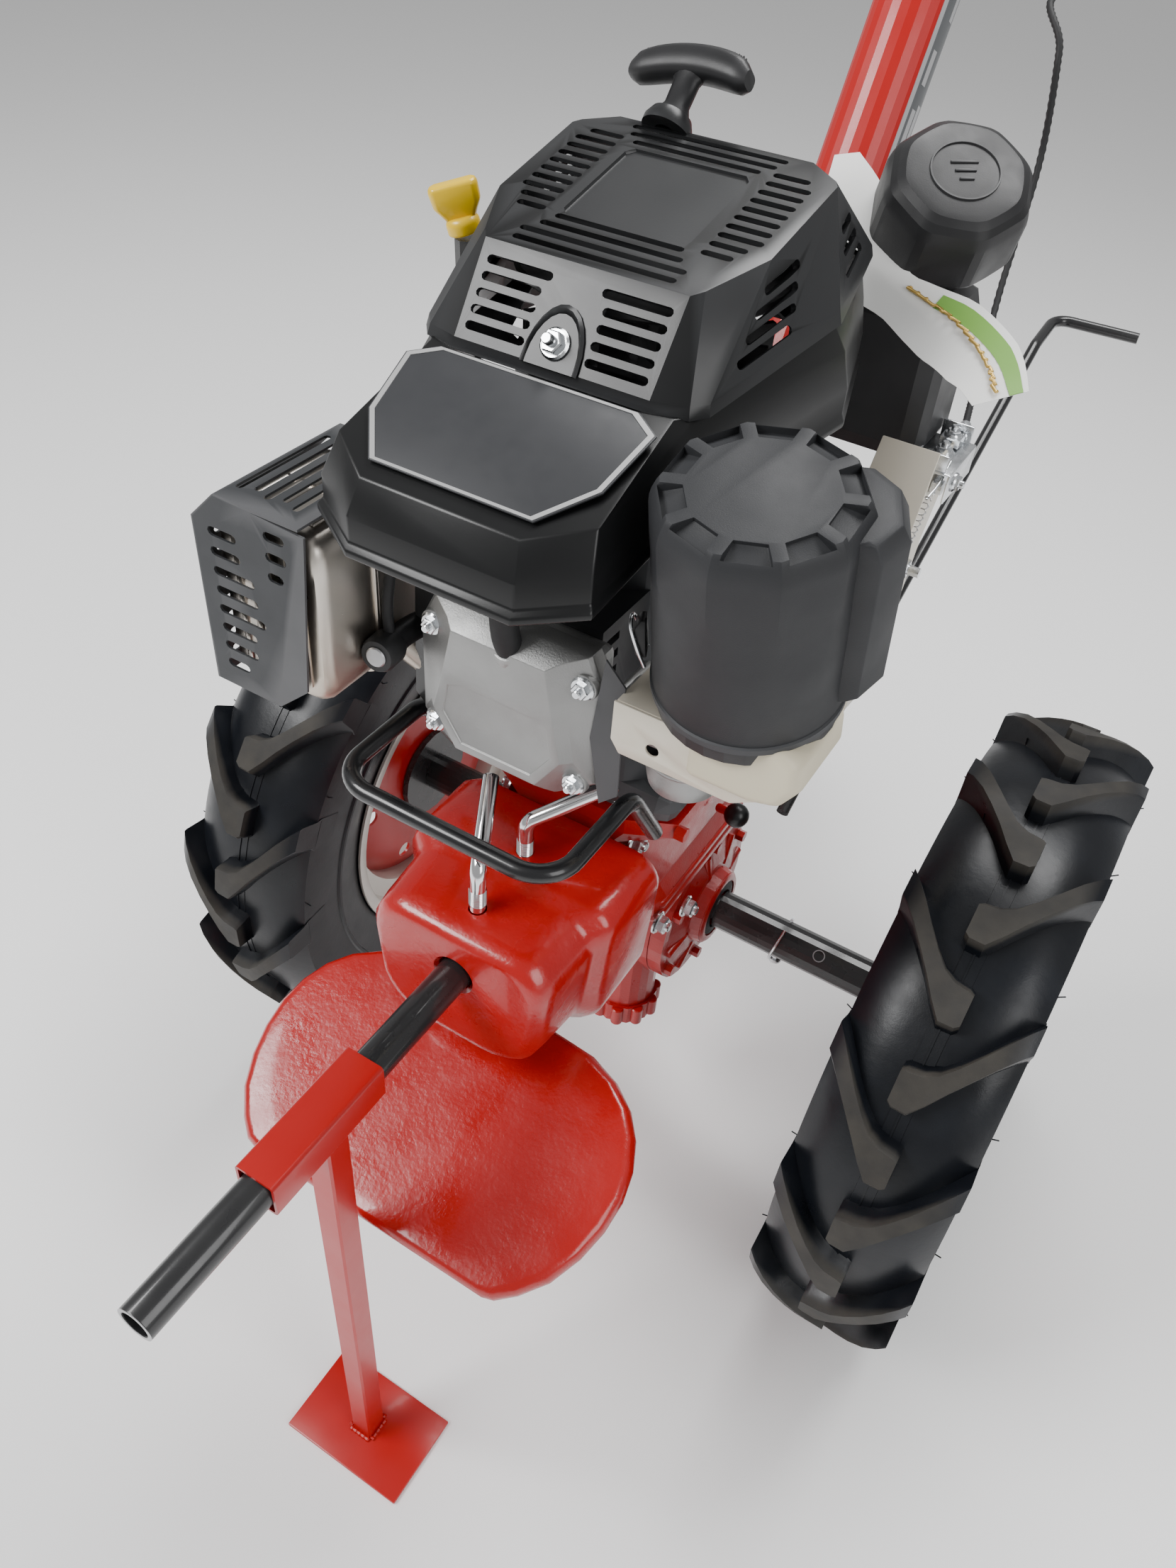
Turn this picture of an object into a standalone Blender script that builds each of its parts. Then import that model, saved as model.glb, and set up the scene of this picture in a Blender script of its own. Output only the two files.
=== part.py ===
"""Two-wheel walk-behind tiller with a vertical-shaft engine, drawn in metres, +Z up.

The machine faces -Y. It is drawn about its axle: X = 0 is the middle plane, Y = 0 is the axle
and Z = 0 is the ground. The last step moves everything by FRAME_SHIFT_Y, so that the frame's
origin is the middle of the machine's footprint.
"""
import math

import bmesh
import bpy
from mathutils import Matrix, Vector

# ---- driving dimensions, metres ----
FRAME_SHIFT_Y = -0.1162
GAP = 0.0003
WHEEL_R = 0.2906
WHEEL_X = 0.3015
TYRE_WIDTH = 0.126
LUG_HEIGHT = 0.018
LUGS_PER_SIDE = 10
RIM_R = 0.152
TUBE_R = 0.019
SHAFT_R = 0.0125
BOSS_X = 0.0608
DRUM_R = 0.085
WORM_Y = -0.058
WORM_TEETH = 24
WORM_WHEEL_R = 0.046
CRANK_Y = -0.150
GEAR_TEETH = 16
GEAR_TIP = 0.0475
GEAR_ROOT = 0.0430
GEAR_Z = 0.475
RAKE = math.radians(13)
BAR_R = 0.0125
BAR_Z = 0.503
BAR_FRONT = -0.637
BAR_LENGTH = 0.402
STAND_Y = -0.4925
STAND_HALF = 0.0505
SLEEVE_HALF = 0.015
LEG_HALF = 0.010
LEG_Y = -0.483
FOOT_SIZE = (0.120, 0.080, 0.004)
BLOCK_FRONT = -0.348
BLOCK_REAR = -0.212
CLAMP_YS = (-0.319, -0.261)
COLUMN_LEAN = math.radians(29.2)
COLUMN_R = 0.029
ENGINE_BASE_Z = 0.600
CANISTER_TOP = Vector((0.142, -0.297, 0.906))
CANISTER_R = 0.052
CANISTER_HEIGHT = 0.132
CAP_TOP = Vector((0.1153, 0.0146, 0.970))
CAP_AXIS = Vector((0.25, -0.45, 0.857)).normalized()
CAP_R = 0.0445
WORM_R = 0.0112
RING_CLIP_X = 0.130
HOUSING_WALL = 0.0026
RAKE_SLOPE = 0.2437
GUARD_FRONT = Vector((0, -0.229, 0.953))
LEVER_PIVOT = Vector((0.2505, 0.690, 1.0260))
THROTTLE_POST = Vector((0.1514, -0.004, 0.783))
LATCH_PIVOT = Vector((0.0845, -0.290, 0.780))
KNOB_ROOT = Vector((0.0640, -0.057, 0.472))
SHIFT_START = Vector((0.105, -0.010, 0.452))
STARTER_STEM = Vector((-0.031, -0.0880, 0.9905))

# The point each moving piece turns about or slides from, where its own shape does not give it.
PIVOTS = {
    "throttle_lever": LEVER_PIVOT,
    "clutch_lever": (-LEVER_PIVOT.x, LEVER_PIVOT.y, LEVER_PIVOT.z),
    "axle_pin_left": (0, 0, WHEEL_R),
    "axle_pin_right": (0, 0, WHEEL_R),
    "fuel_cap": CAP_TOP,
    "filter_latch": LATCH_PIVOT,
    "clamp_screw_front": (0, CLAMP_YS[0], BAR_Z + BAR_R),
    "clamp_screw_rear": (0, CLAMP_YS[1], BAR_Z + BAR_R),
    "starter_grip": STARTER_STEM,
    "shift_rod": SHIFT_START,
    "gear_knob": KNOB_ROOT,
    "throttle_arm": THROTTLE_POST,
}

PARTS = None
CUTTERS = None


# ---- scene and naming helpers ----
def clear_scene():
    """Remove everything that a new file starts with."""
    for item in list(bpy.data.objects):
        bpy.data.objects.remove(item, do_unlink=True)


def material(name, colour, roughness, metallic=0.0):
    """Return a Principled material, made once."""
    found = bpy.data.materials.get(name)
    if found:
        return found
    made = bpy.data.materials.new(name)
    made.use_nodes = True
    shader = made.node_tree.nodes["Principled BSDF"]
    shader.inputs["Base Color"].default_value = (*colour, 1.0)
    shader.inputs["Roughness"].default_value = roughness
    shader.inputs["Metallic"].default_value = metallic
    made.diffuse_color = (*colour, 1.0)
    return made


def red_paint():
    return material("red_paint", (0.72, 0.02, 0.02), 0.35)


def red_cast():
    return material("red_cast", (0.66, 0.02, 0.02), 0.45)


def black_paint():
    return material("black_paint", (0.02, 0.02, 0.022), 0.35)


def black_plastic():
    return material("black_plastic", (0.03, 0.03, 0.033), 0.42)


def grey_plastic():
    return material("grey_plastic", (0.10, 0.11, 0.12), 0.55)


def rubber():
    return material("rubber", (0.035, 0.038, 0.042), 0.75)


def zinc():
    return material("zinc", (0.72, 0.74, 0.76), 0.28, 1.0)


def steel():
    return material("steel", (0.55, 0.56, 0.58), 0.35, 1.0)


def aluminium():
    return material("aluminium", (0.72, 0.71, 0.69), 0.45, 1.0)


def cream():
    return material("cream_steel", (0.78, 0.74, 0.66), 0.45)


def bronze():
    return material("bronze", (0.70, 0.48, 0.20), 0.4, 1.0)


def filter_paper():
    return material("filter_paper", (0.80, 0.72, 0.50), 0.8)


def tag_paper():
    return material("tag_paper", (0.9, 0.9, 0.88), 0.7)


def yellow_plastic():
    return material("yellow_plastic", (0.95, 0.78, 0.02), 0.4)


def add(name, mesh, look, where="parts"):
    """Put a mesh in the scene as one named object."""
    item = bpy.data.objects.new(name, mesh)
    if look:
        mesh.materials.append(look())
    target = PARTS if where == "parts" else CUTTERS
    target.objects.link(item)
    if where != "parts":
        item.hide_render = True
        item.display_type = "WIRE"
    return item


def apply_modifiers(item):
    """Swap an object's mesh or curve for its evaluated, welded mesh, and return the new object."""
    graph = bpy.context.evaluated_depsgraph_get()
    mesh = bpy.data.meshes.new_from_object(item.evaluated_get(graph))
    welded = bmesh.new()
    welded.from_mesh(mesh)
    bmesh.ops.remove_doubles(welded, verts=welded.verts, dist=0.00001)
    bmesh.ops.recalc_face_normals(welded, faces=welded.faces)
    welded.to_mesh(mesh)
    welded.free()
    made = bpy.data.objects.new("temporary", mesh)
    made.matrix_world = item.matrix_world
    for owner in list(item.users_collection):
        owner.objects.link(made)
    made.hide_render = item.hide_render
    made.display_type = item.display_type
    name = item.name
    bpy.data.objects.remove(item, do_unlink=True)
    made.name = name
    return made


def bevel(item, width, segments=2, angle=30):
    """Round the edges that are sharper than an angle."""
    changed = item.modifiers.new("round_edges", "BEVEL")
    changed.width = width
    changed.segments = segments
    changed.limit_method = "ANGLE"
    changed.angle_limit = math.radians(angle)
    return item


def cut(item, cutter, operation="DIFFERENCE"):
    """Cut an object with another, or join them."""
    changed = item.modifiers.new("cut", "BOOLEAN")
    changed.object = cutter
    changed.operation = operation
    changed.solver = "EXACT"
    return item


def smooth(item, angle=35):
    """Shade a mesh's round faces smooth and keep its edges crisp."""
    if item.type == "MESH":
        item.data.shade_smooth()
        item.data.set_sharp_from_angle(angle=math.radians(angle))


def set_origin(item, point):
    """Move an object's origin to a point and leave its shape where it is."""
    offset = item.matrix_basis.inverted() @ Vector(point)
    item.data.transform(Matrix.Translation(-offset))
    item.location = point


# ---- shape helpers ----
def box(name, centre, size, look, where="parts", turn=None):
    """A box from a cube primitive, with its size in the mesh."""
    shape = bmesh.new()
    bmesh.ops.create_cube(shape, size=1.0)
    bmesh.ops.scale(shape, vec=Vector(size), verts=shape.verts)
    if turn:
        bmesh.ops.rotate(shape, matrix=turn, verts=shape.verts)
    mesh = bpy.data.meshes.new(name)
    shape.to_mesh(mesh)
    shape.free()
    item = add(name, mesh, look, where)
    item.location = centre
    return item


def boxes(name, places, size, turn=None):
    """A cutter of several equal boxes in one mesh."""
    shape = bmesh.new()
    for place in places:
        made = bmesh.ops.create_cube(shape, size=1.0)["verts"]
        bmesh.ops.scale(shape, vec=Vector(size), verts=made)
        if turn:
            bmesh.ops.rotate(shape, matrix=turn, verts=made)
        bmesh.ops.translate(shape, vec=Vector(place), verts=made)
    mesh = bpy.data.meshes.new(name)
    shape.to_mesh(mesh)
    shape.free()
    return add(name, mesh, None, "cutters")


AXIS_TURNS = {
    "X": Matrix.Rotation(math.pi / 2, 3, "Y"),
    "Y": Matrix.Rotation(-math.pi / 2, 3, "X"),
    "Z": Matrix.Identity(3),
}


def rod(name, start, end, radius, look, sides=24, where="parts"):
    """A round bar between two points, from a cone primitive."""
    start = Vector(start)
    end = Vector(end)
    run = end - start
    shape = bmesh.new()
    bmesh.ops.create_cone(shape, cap_ends=True, segments=sides, radius1=radius, radius2=radius,
                          depth=run.length)
    mesh = bpy.data.meshes.new(name)
    shape.to_mesh(mesh)
    shape.free()
    item = add(name, mesh, look, where)
    item.rotation_mode = "QUATERNION"
    item.rotation_quaternion = run.to_track_quat("Z", "Y")
    item.location = (start + end) / 2
    return item


def turned(name, profile, look, centre=(0, 0, 0), axis="Z", steps=32):
    """A turned shape: a profile of (radius, height) points, outer side first, top to bottom."""
    mesh = bpy.data.meshes.new(name)
    points = [(radius, 0.0, height) for radius, height in profile]
    edges = [(k, k + 1) for k in range(len(points) - 1)]
    edges.append((len(points) - 1, 0))
    mesh.from_pydata(points, edges, [])
    item = add(name, mesh, look)
    screw = item.modifiers.new("turn", "SCREW")
    screw.steps = steps
    screw.render_steps = steps
    screw.use_merge_vertices = True
    screw.merge_threshold = 0.00001
    item.rotation_mode = "QUATERNION"
    item.rotation_quaternion = AXIS_TURNS[axis].to_quaternion()
    item.location = centre
    return item


def tube(name, points, radius, look, resolution=2):
    """A round wire or pipe along points, as a curve with filled caps."""
    curve = bpy.data.curves.new(name, "CURVE")
    curve.dimensions = "3D"
    curve.bevel_depth = radius
    curve.bevel_resolution = resolution
    curve.use_fill_caps = True
    curve.render_resolution_u = 0
    path = [Vector(point) for point in points]
    spline = curve.splines.new("POLY")
    spline.points.add(len(path) - 1)
    for point, place in zip(spline.points, path):
        point.co = (*place, 1.0)
    item = bpy.data.objects.new(name, curve)
    PARTS.objects.link(item)
    curve.materials.append(look())
    return item


def rounded_route(path, steps=6):
    """Read points from a smooth curve through the route's own points."""
    ends = [2 * path[0] - path[1], *path, 2 * path[-1] - path[-2]]
    route = []
    for k in range(1, len(ends) - 2):
        before, here, there, after = ends[k - 1:k + 3]
        for step in range(steps):
            t = step / steps
            route.append(0.5 * (2 * here + (there - before) * t
                                + (2 * before - 5 * here + 4 * there - after) * t * t
                                + (3 * here - before - 3 * there + after) * t ** 3))
    route.append(path[-1])
    return route


def corner_route(points, radius, steps=5):
    """Points of a bent tube: straight runs joined by arcs of one bend radius."""
    path = [Vector(point) for point in points]
    route = [path[0]]
    for before, corner, after in zip(path, path[1:], path[2:]):
        back = (before - corner).normalized()
        ahead = (after - corner).normalized()
        half = back.angle(ahead) / 2
        reach = radius / math.tan(half)
        start = corner + back * reach
        centre = corner + (back + ahead).normalized() * (radius / math.sin(half))
        axis = (start - centre).cross(ahead).normalized()
        sweep = math.pi - 2 * half
        for step in range(steps + 1):
            turn = Matrix.Rotation(sweep * step / steps, 3, axis)
            route.append(centre + turn @ (start - centre))
    route.append(path[-1])
    return route


def loft(name, rings, look, where="parts", ends="both"):
    """A skin over rings of equal point counts. Built by hand, since the sections are unlike."""
    shape = bmesh.new()
    rows = [[shape.verts.new(point) for point in ring] for ring in rings]
    count = len(rows[0])
    for low, high in zip(rows, rows[1:]):
        for k in range(count):
            shape.faces.new((low[k], low[(k + 1) % count], high[(k + 1) % count], high[k]))
    if ends in ("both", "first"):
        shape.faces.new(list(reversed(rows[0])))
    if ends in ("both", "last"):
        shape.faces.new(rows[-1])
    bmesh.ops.recalc_face_normals(shape, faces=shape.faces)
    mesh = bpy.data.meshes.new(name)
    shape.to_mesh(mesh)
    shape.free()
    return add(name, mesh, look, where)


def plate(name, outline, thickness, look, turn=None, centre=(0, 0, 0)):
    """A flat outline in its own XY plane as a filled 2D curve, made a mesh."""
    curve = bpy.data.curves.new(name, "CURVE")
    curve.dimensions = "2D"
    curve.fill_mode = "BOTH"
    curve.extrude = thickness / 2
    spline = curve.splines.new("POLY")
    spline.points.add(len(outline) - 1)
    for point, place in zip(spline.points, outline):
        point.co = (place[0], place[1], 0.0, 1.0)
    spline.use_cyclic_u = True
    item = bpy.data.objects.new(name, curve)
    PARTS.objects.link(item)
    curve.materials.append(look())
    if turn:
        item.rotation_mode = "QUATERNION"
        item.rotation_quaternion = turn.to_quaternion()
    item.location = centre
    bpy.context.view_layer.update()
    return apply_modifiers(item)


def join(name, items):
    """Join separate objects into one mesh, for a group of equal fasteners or a cutter."""
    graph = bpy.context.evaluated_depsgraph_get()
    whole = bmesh.new()
    for item in items:
        mesh = bpy.data.meshes.new_from_object(item.evaluated_get(graph))
        mesh.transform(item.matrix_world)
        whole.from_mesh(mesh)
        bpy.data.meshes.remove(mesh)
    bmesh.ops.remove_doubles(whole, verts=whole.verts, dist=0.000001)
    mesh = bpy.data.meshes.new(name)
    whole.to_mesh(mesh)
    whole.free()
    for look in items[0].data.materials:
        mesh.materials.append(look)
    made = bpy.data.objects.new(name, mesh)
    items[0].users_collection[0].objects.link(made)
    made.hide_render = items[0].hide_render
    made.display_type = items[0].display_type
    for item in items:
        bpy.data.objects.remove(item, do_unlink=True)
    made.name = name
    return made


def union(name, items):
    """Join overlapping objects into one closed body."""
    bpy.context.view_layer.update()
    whole = apply_modifiers(items[0])
    for item in items[1:]:
        cut(whole, item, "UNION")
        bpy.context.view_layer.update()
        whole = apply_modifiers(whole)
        bpy.data.objects.remove(item, do_unlink=True)
    whole.name = name
    return whole


def carve(item, cutters):
    """Cut an object with each cutter, then drop the cutters."""
    bpy.context.view_layer.update()
    name = item.name
    for cutter in cutters:
        cut(item, cutter)
        bpy.context.view_layer.update()
        item = apply_modifiers(item)
        bpy.data.objects.remove(cutter, do_unlink=True)
    item.name = name
    return item


def hex_bolt(centre, direction, across=0.013, height=0.008, flange=True):
    """A hexagon head standing on a face at centre, on a round flange if it has one."""
    direction = Vector(direction).normalized()
    centre = Vector(centre)
    head = rod("head", centre, centre + direction * height, across * 0.577, zinc, 6)
    if not flange:
        return head
    washer = rod("washer", centre - direction * 0.0005, centre + direction * 0.002, across * 0.75, zinc, 16)
    return union("bolt", [washer, head])


def level_ring(height, half_outline):
    """A level section from the +X half of its outline."""
    return octagon_ring([(x, y, height) for x, y in half_outline])


def octagon_ring(half_points):
    """Mirror points of the +X half to a whole ring, front to rear and back."""
    left = [(-x, y, z) for x, y, z in reversed(half_points)]
    return [*half_points, *left]


# ---- wheels and axle ----
def lug_sections(side):
    """Sections along one tread bar, from the middle of the tyre to its shoulder."""
    low = WHEEL_R - LUG_HEIGHT - 0.006
    stations = ((0.004, 0.00, 0.013, WHEEL_R), (0.030, 0.16, 0.014, WHEEL_R - 0.001),
                (0.0615, 0.27, 0.016, WHEEL_R - 0.010))
    sections = []
    for across, sweep, half, top in stations:
        ring = []
        foot = min(low, top - 0.008)
        for radius, spread in ((foot, half), (top, half * 0.8), (top, -half * 0.8), (foot, -half)):
            angle = sweep + spread / WHEEL_R
            ring.append((side * across, radius * math.sin(angle), radius * math.cos(angle)))
        sections.append(ring)
    return sections


def tyre(name, x):
    """A tractor tyre: a hollow carcass with staggered tread bars on each half."""
    body_r = WHEEL_R - LUG_HEIGHT
    half = TYRE_WIDTH / 2
    bead = RIM_R + 0.002
    outside = [(body_r - 0.005, 0.78 * half), (body_r, 0.0), (body_r - 0.005, -0.78 * half),
               (body_r - 0.030, -half), (0.200, -0.98 * half), (bead, -0.70 * half)]
    inside = [(bead, -0.50 * half), (0.200, -0.84 * half), (body_r - 0.032, -0.84 * half),
              (body_r - 0.014, 0.0), (body_r - 0.032, 0.84 * half), (0.200, 0.84 * half),
              (bead, 0.50 * half)]
    beads = [(bead, 0.70 * half), (0.200, 0.98 * half), (body_r - 0.030, half)]
    carcass = turned(name, [*outside, *inside, *beads], rubber, (0, 0, 0), "X", 20)
    lugs = []
    for side in (-1, 1):
        for k in range(LUGS_PER_SIDE):
            lug = loft("lug", lug_sections(side), rubber)
            start = 0.0 if side < 0 else math.pi / LUGS_PER_SIDE
            lug.rotation_euler.x = start + 2 * math.pi * k / LUGS_PER_SIDE
            lugs.append(lug)
    bpy.context.view_layer.update()
    whole = union(name, [carcass, join("lugs", lugs)])
    whole.location = (x, 0, WHEEL_R)
    return whole


def wheel_rim(name, x, side):
    """The rim ring and its dished disc, pressed and welded as one wheel."""
    wall = 0.003
    well = RIM_R - 0.020
    seat = RIM_R + 0.0012
    half = TYRE_WIDTH / 2
    lip = RIM_R + 0.012
    outside = [(lip, 0.80 * half + wall), (lip, 0.80 * half), (seat, 0.775 * half),
               (seat, 0.42 * half), (well, 0.30 * half), (well, -0.30 * half),
               (seat, -0.42 * half), (seat, -0.775 * half), (lip, -0.80 * half),
               (lip, -0.80 * half - wall)]
    inside = [(seat - wall, -0.79 * half), (seat - wall, -0.38 * half), (well - wall, -0.26 * half),
              (well - wall, -0.0015), (0.108, -0.0135), (0.026, -0.0135), (0.026, -0.0105),
              (0.106, -0.0105), (well - wall, 0.0015), (well - wall, 0.26 * half),
              (seat - wall, 0.38 * half), (seat - wall, 0.79 * half)]
    profile = [*outside, *inside]
    if side > 0:
        profile = [(radius, -height) for radius, height in reversed(profile)]
    item = turned(name, profile, red_paint, (0, 0, 0), "X", 20)
    item.rotation_quaternion = Matrix.Rotation(-math.pi / 2, 3, "Y").to_quaternion()
    whole = apply_evaluated(item)
    whole.location = (x, 0, WHEEL_R)
    return whole


def axle_hub(name, side):
    """The slip-on extension tube with the wheel's bolt flange welded to its end."""
    inner = SHAFT_R + 0.0004
    flange_x = WHEEL_X - 0.0135 - 0.0035
    tube_start = BOSS_X + 0.004
    end = WHEEL_X + 0.012
    profile = [(TUBE_R, tube_start), (inner, tube_start), (inner, end), (TUBE_R, end),
               (TUBE_R, flange_x + 0.001), (0.050, flange_x + 0.001), (0.050, flange_x - 0.005),
               (TUBE_R, flange_x - 0.005)]
    item = turned(name, profile, black_paint, (0, 0, 0), "X", 20)
    if side < 0:
        item.rotation_quaternion = Matrix.Rotation(-math.pi / 2, 3, "Y").to_quaternion()
    whole = apply_evaluated(item)
    whole.location = (0, 0, WHEEL_R)
    return whole


def apply_evaluated(item):
    """Apply what is on one object and keep its name."""
    bpy.context.view_layer.update()
    return apply_modifiers(item)


def axle_set():
    """Everything that turns with the axle."""
    for side, word in ((1, "left"), (-1, "right")):
        tyre("tyre_" + word, side * WHEEL_X)
        wheel_rim("wheel_rim_" + word, side * WHEEL_X, side)
        axle_hub("axle_hub_" + word, side)
    rod("axle_shaft", (-WHEEL_X - 0.005, 0, WHEEL_R), (WHEEL_X + 0.005, 0, WHEEL_R), SHAFT_R, steel)
    for side, word in ((1, "left"), (-1, "right")):
        axle_pin("axle_pin_" + word, side * RING_CLIP_X)
    worm_wheel()


def axle_pin(name, place):
    """A lynch pin: its head under the tube and the wire ring that snaps round it."""
    reach = TUBE_R + 0.0022
    loop = []
    for k in range(9):
        angle = math.radians(15 + 20.25 * k)
        loop.append((place, reach * math.sin(angle), WHEEL_R + reach * math.cos(angle)))
    ring = tube("ring", loop, 0.0016, zinc, 2)
    under = WHEEL_R - TUBE_R
    head = rod("head", (place, 0, under - GAP), (place, 0, under - 0.009), 0.005, zinc, 12)
    return union(name, [ring, head])


def worm_wheel():
    """The bronze worm wheel, keyed on the axle."""
    root = WORM_WHEEL_R - 0.005
    half = 0.009
    bore = SHAFT_R + GAP
    ring = []
    for k in range(WORM_TEETH):
        middle = 2 * math.pi * k / WORM_TEETH
        for radius, offset in ((root, -0.25), (WORM_WHEEL_R, -0.12), (WORM_WHEEL_R, 0.12), (root, 0.25)):
            angle = middle + offset * 2 * math.pi / WORM_TEETH
            ring.append((radius * math.sin(angle), radius * math.cos(angle)))
    turn = AXIS_TURNS["X"]
    item = plate("worm_wheel", ring, 2 * half, bronze, turn, (0, 0, WHEEL_R))
    hole = rod("hole", (-0.03, 0, WHEEL_R), (0.03, 0, WHEEL_R), bore, None, 24, "cutters")
    return carve(item, [hole])


# ---- gearbox ----
def gearbox():
    """The lower case round the worm wheel, its side cover, and the upper transfer case."""
    centre = (0, 0, WHEEL_R)
    drum = rod("gearbox_case", (-0.040, 0, WHEEL_R), (0.030, 0, WHEEL_R), DRUM_R, red_cast, 32)
    barrel = rod("barrel", (0, WORM_Y, 0.188), (0, WORM_Y, 0.392), 0.030, red_cast, 20)
    cap = rod("cap", (0, WORM_Y, 0.166), (0, WORM_Y, 0.189), 0.0335, red_cast, 10)
    boss = rod("boss", (-BOSS_X, 0, WHEEL_R), (-0.038, 0, WHEEL_R), 0.038, red_cast, 20)
    deck = box("deck", (0, -0.050, 0.392), (0.110, 0.170, 0.012), red_cast)
    bevel(deck, 0.006, 2)
    case = union("gearbox_case", [drum, barrel, cap, boss, deck])
    well = rod("well", (-0.034, 0, WHEEL_R), (0.040, 0, WHEEL_R), DRUM_R - 0.009, None, 28, "cutters")
    shaft = rod("shaft", (-0.08, 0, WHEEL_R), (0.08, 0, WHEEL_R), SHAFT_R + 0.0006, None, 16, "cutters")
    seat = rod("seat", (-0.08, 0, WHEEL_R), (-0.033, 0, WHEEL_R), 0.024, None, 20, "cutters")
    worm_bore = rod("worm_bore", (0, WORM_Y, 0.174), (0, WORM_Y, 0.410), 0.020, None, 20, "cutters")
    case = carve(case, [well, shaft, seat, worm_bore])
    cover = turned("gearbox_cover", [(DRUM_R - 0.001, BOSS_X - 0.016), (DRUM_R - 0.001, 0.0303),
                                     (0.024, 0.0303), (0.024, BOSS_X), (0.038, BOSS_X),
                                     (0.040, BOSS_X - 0.010), (0.048, BOSS_X - 0.010),
                                     (DRUM_R - 0.012, BOSS_X - 0.016)],
                   red_cast, centre, "X", 32)
    bolts = []
    for k in range(6):
        angle = math.radians(30 + 60 * k)
        place = (BOSS_X - 0.0165, (DRUM_R - 0.009) * math.cos(angle),
                 WHEEL_R + (DRUM_R - 0.009) * math.sin(angle))
        bolts.append(hex_bolt(place, (1, 0, 0), 0.010, 0.008, False))
    union("gearbox_cover", [cover, *bolts])
    transfer_case()
    for side, word in ((1, "left"), (-1, "right")):
        low, high = sorted((side * 0.0400, side * 0.0520))
        turned("axle_bearing_" + word, [(0.0236, high), (0.0236, low), (SHAFT_R + GAP, low),
                                        (SHAFT_R + GAP, high)], steel, centre, "X", 18)


def transfer_case():
    """The upper casting between the engine's flange and the worm case."""
    foot = [(0.052, -0.135), (0.055, -0.120), (0.055, 0.030), (0.050, 0.035)]
    waist = [(0.040, -0.140), (0.050, -0.128), (0.050, 0.000), (0.040, 0.012)]
    chamber = [(0.040, -0.206), (0.058, -0.185), (0.058, -0.030), (0.040, 0.002)]
    top = [(0.050, -0.208), (0.084, -0.190), (0.084, -0.080), (0.050, 0.002)]
    levels = [(0.3985, foot), (0.412, foot), (0.432, waist), (0.455, chamber), (0.540, chamber),
              (0.556, top), (0.570, top)]
    case = loft("transfer_case", [level_ring(height, half) for height, half in levels], red_cast)
    well = [(0.040, -0.108), (0.044, -0.100), (0.044, 0.010), (0.040, 0.014)]
    room = [(0.034, -0.199), (0.051, -0.180), (0.051, -0.034), (0.034, -0.007)]
    levels = [(0.390, well), (0.440, well), (0.460, room), (0.580, room)]
    hollow = loft("hollow", [level_ring(height, half) for height, half in levels], None, "cutters")
    case = carve(case, [hollow])
    bolts = []
    for side in (-1, 1):
        for y in (-0.190, -0.100):
            bolts.append(hex_bolt((side * 0.0832, y, 0.5630), (side, 0, 0), 0.010, 0.008, False))
    union("transfer_case", [case, *bolts])


def geared_shafts():
    """The upright worm with its reduction gear, and the input shaft whose pinion drives it."""
    core = rod("worm_shaft", (0, WORM_Y, 0.178), (0, WORM_Y, 0.500), 0.0075, steel, 14)
    worm = rod("worm", (0, WORM_Y, 0.255), (0, WORM_Y, 0.326), WORM_R, steel, 16)
    gear = gear_disc("gear", (0, WORM_Y, GEAR_Z), 0.0)
    union("worm_shaft", [core, worm, gear])
    shaft = rod("input_shaft", (0, CRANK_Y, 0.463), (0, CRANK_Y, 0.520), 0.0100, steel, 14)
    pinion = gear_disc("pinion", (0, CRANK_Y, GEAR_Z), 0.5)
    union("input_shaft", [shaft, pinion])


def gear_disc(name, centre, phase):
    """A spur gear as a toothed plate, turned by a share of one tooth."""
    ring = []
    for k in range(GEAR_TEETH):
        middle = math.pi / 2 + 2 * math.pi * (k + phase) / GEAR_TEETH
        for size, offset in ((GEAR_ROOT, -0.27), (GEAR_TIP, -0.12), (GEAR_TIP, 0.12), (GEAR_ROOT, 0.27)):
            angle = middle + offset * 2 * math.pi / GEAR_TEETH
            ring.append((size * math.cos(angle), size * math.sin(angle)))
    return plate(name, ring, 0.012, steel, None, centre)


# ---- engine ----
def engine():
    """The block, head, crankshaft, fan and covers."""
    block = rod("engine_block", (0, CRANK_Y, ENGINE_BASE_Z), (0, CRANK_Y, 0.820), 0.068, black_paint, 28)
    flange = box("flange", (0, -0.1425, 0.586), (0.170, 0.125, 0.030), black_paint)
    bevel(flange, 0.02, 2)
    barrel = box("barrel", (0, -0.222, 0.705), (0.090, 0.070, 0.110), black_paint)
    block = union("engine_block", [block, flange, barrel])
    fins = boxes("fins", [(0, -0.2475, 0.660 + 0.0125 * k) for k in range(8)], (0.120, 0.022, 0.006))
    bore = rod("bore", (0, CRANK_Y, 0.56), (0, CRANK_Y, 0.805), 0.058, None, 20, "cutters")
    mouth = rod("mouth", (0, CRANK_Y, 0.80), (0, CRANK_Y, 0.83), 0.016, None, 16, "cutters")
    carve(block, [fins, bore, mouth])
    head = box("cylinder_head", (0, -0.2665, 0.705), (0.112, 0.0180, 0.106), black_paint)
    bevel(head, 0.006, 2)
    rocker_cover()
    crank = rod("crankshaft", (0, CRANK_Y, 0.545), (0, CRANK_Y, 0.930), 0.0125, steel, 14)
    web = rod("web", (0, CRANK_Y, 0.690), (0, CRANK_Y, 0.730), 0.045, steel, 20)
    union("crankshaft", [crank, web])
    fan()
    housings()


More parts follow.
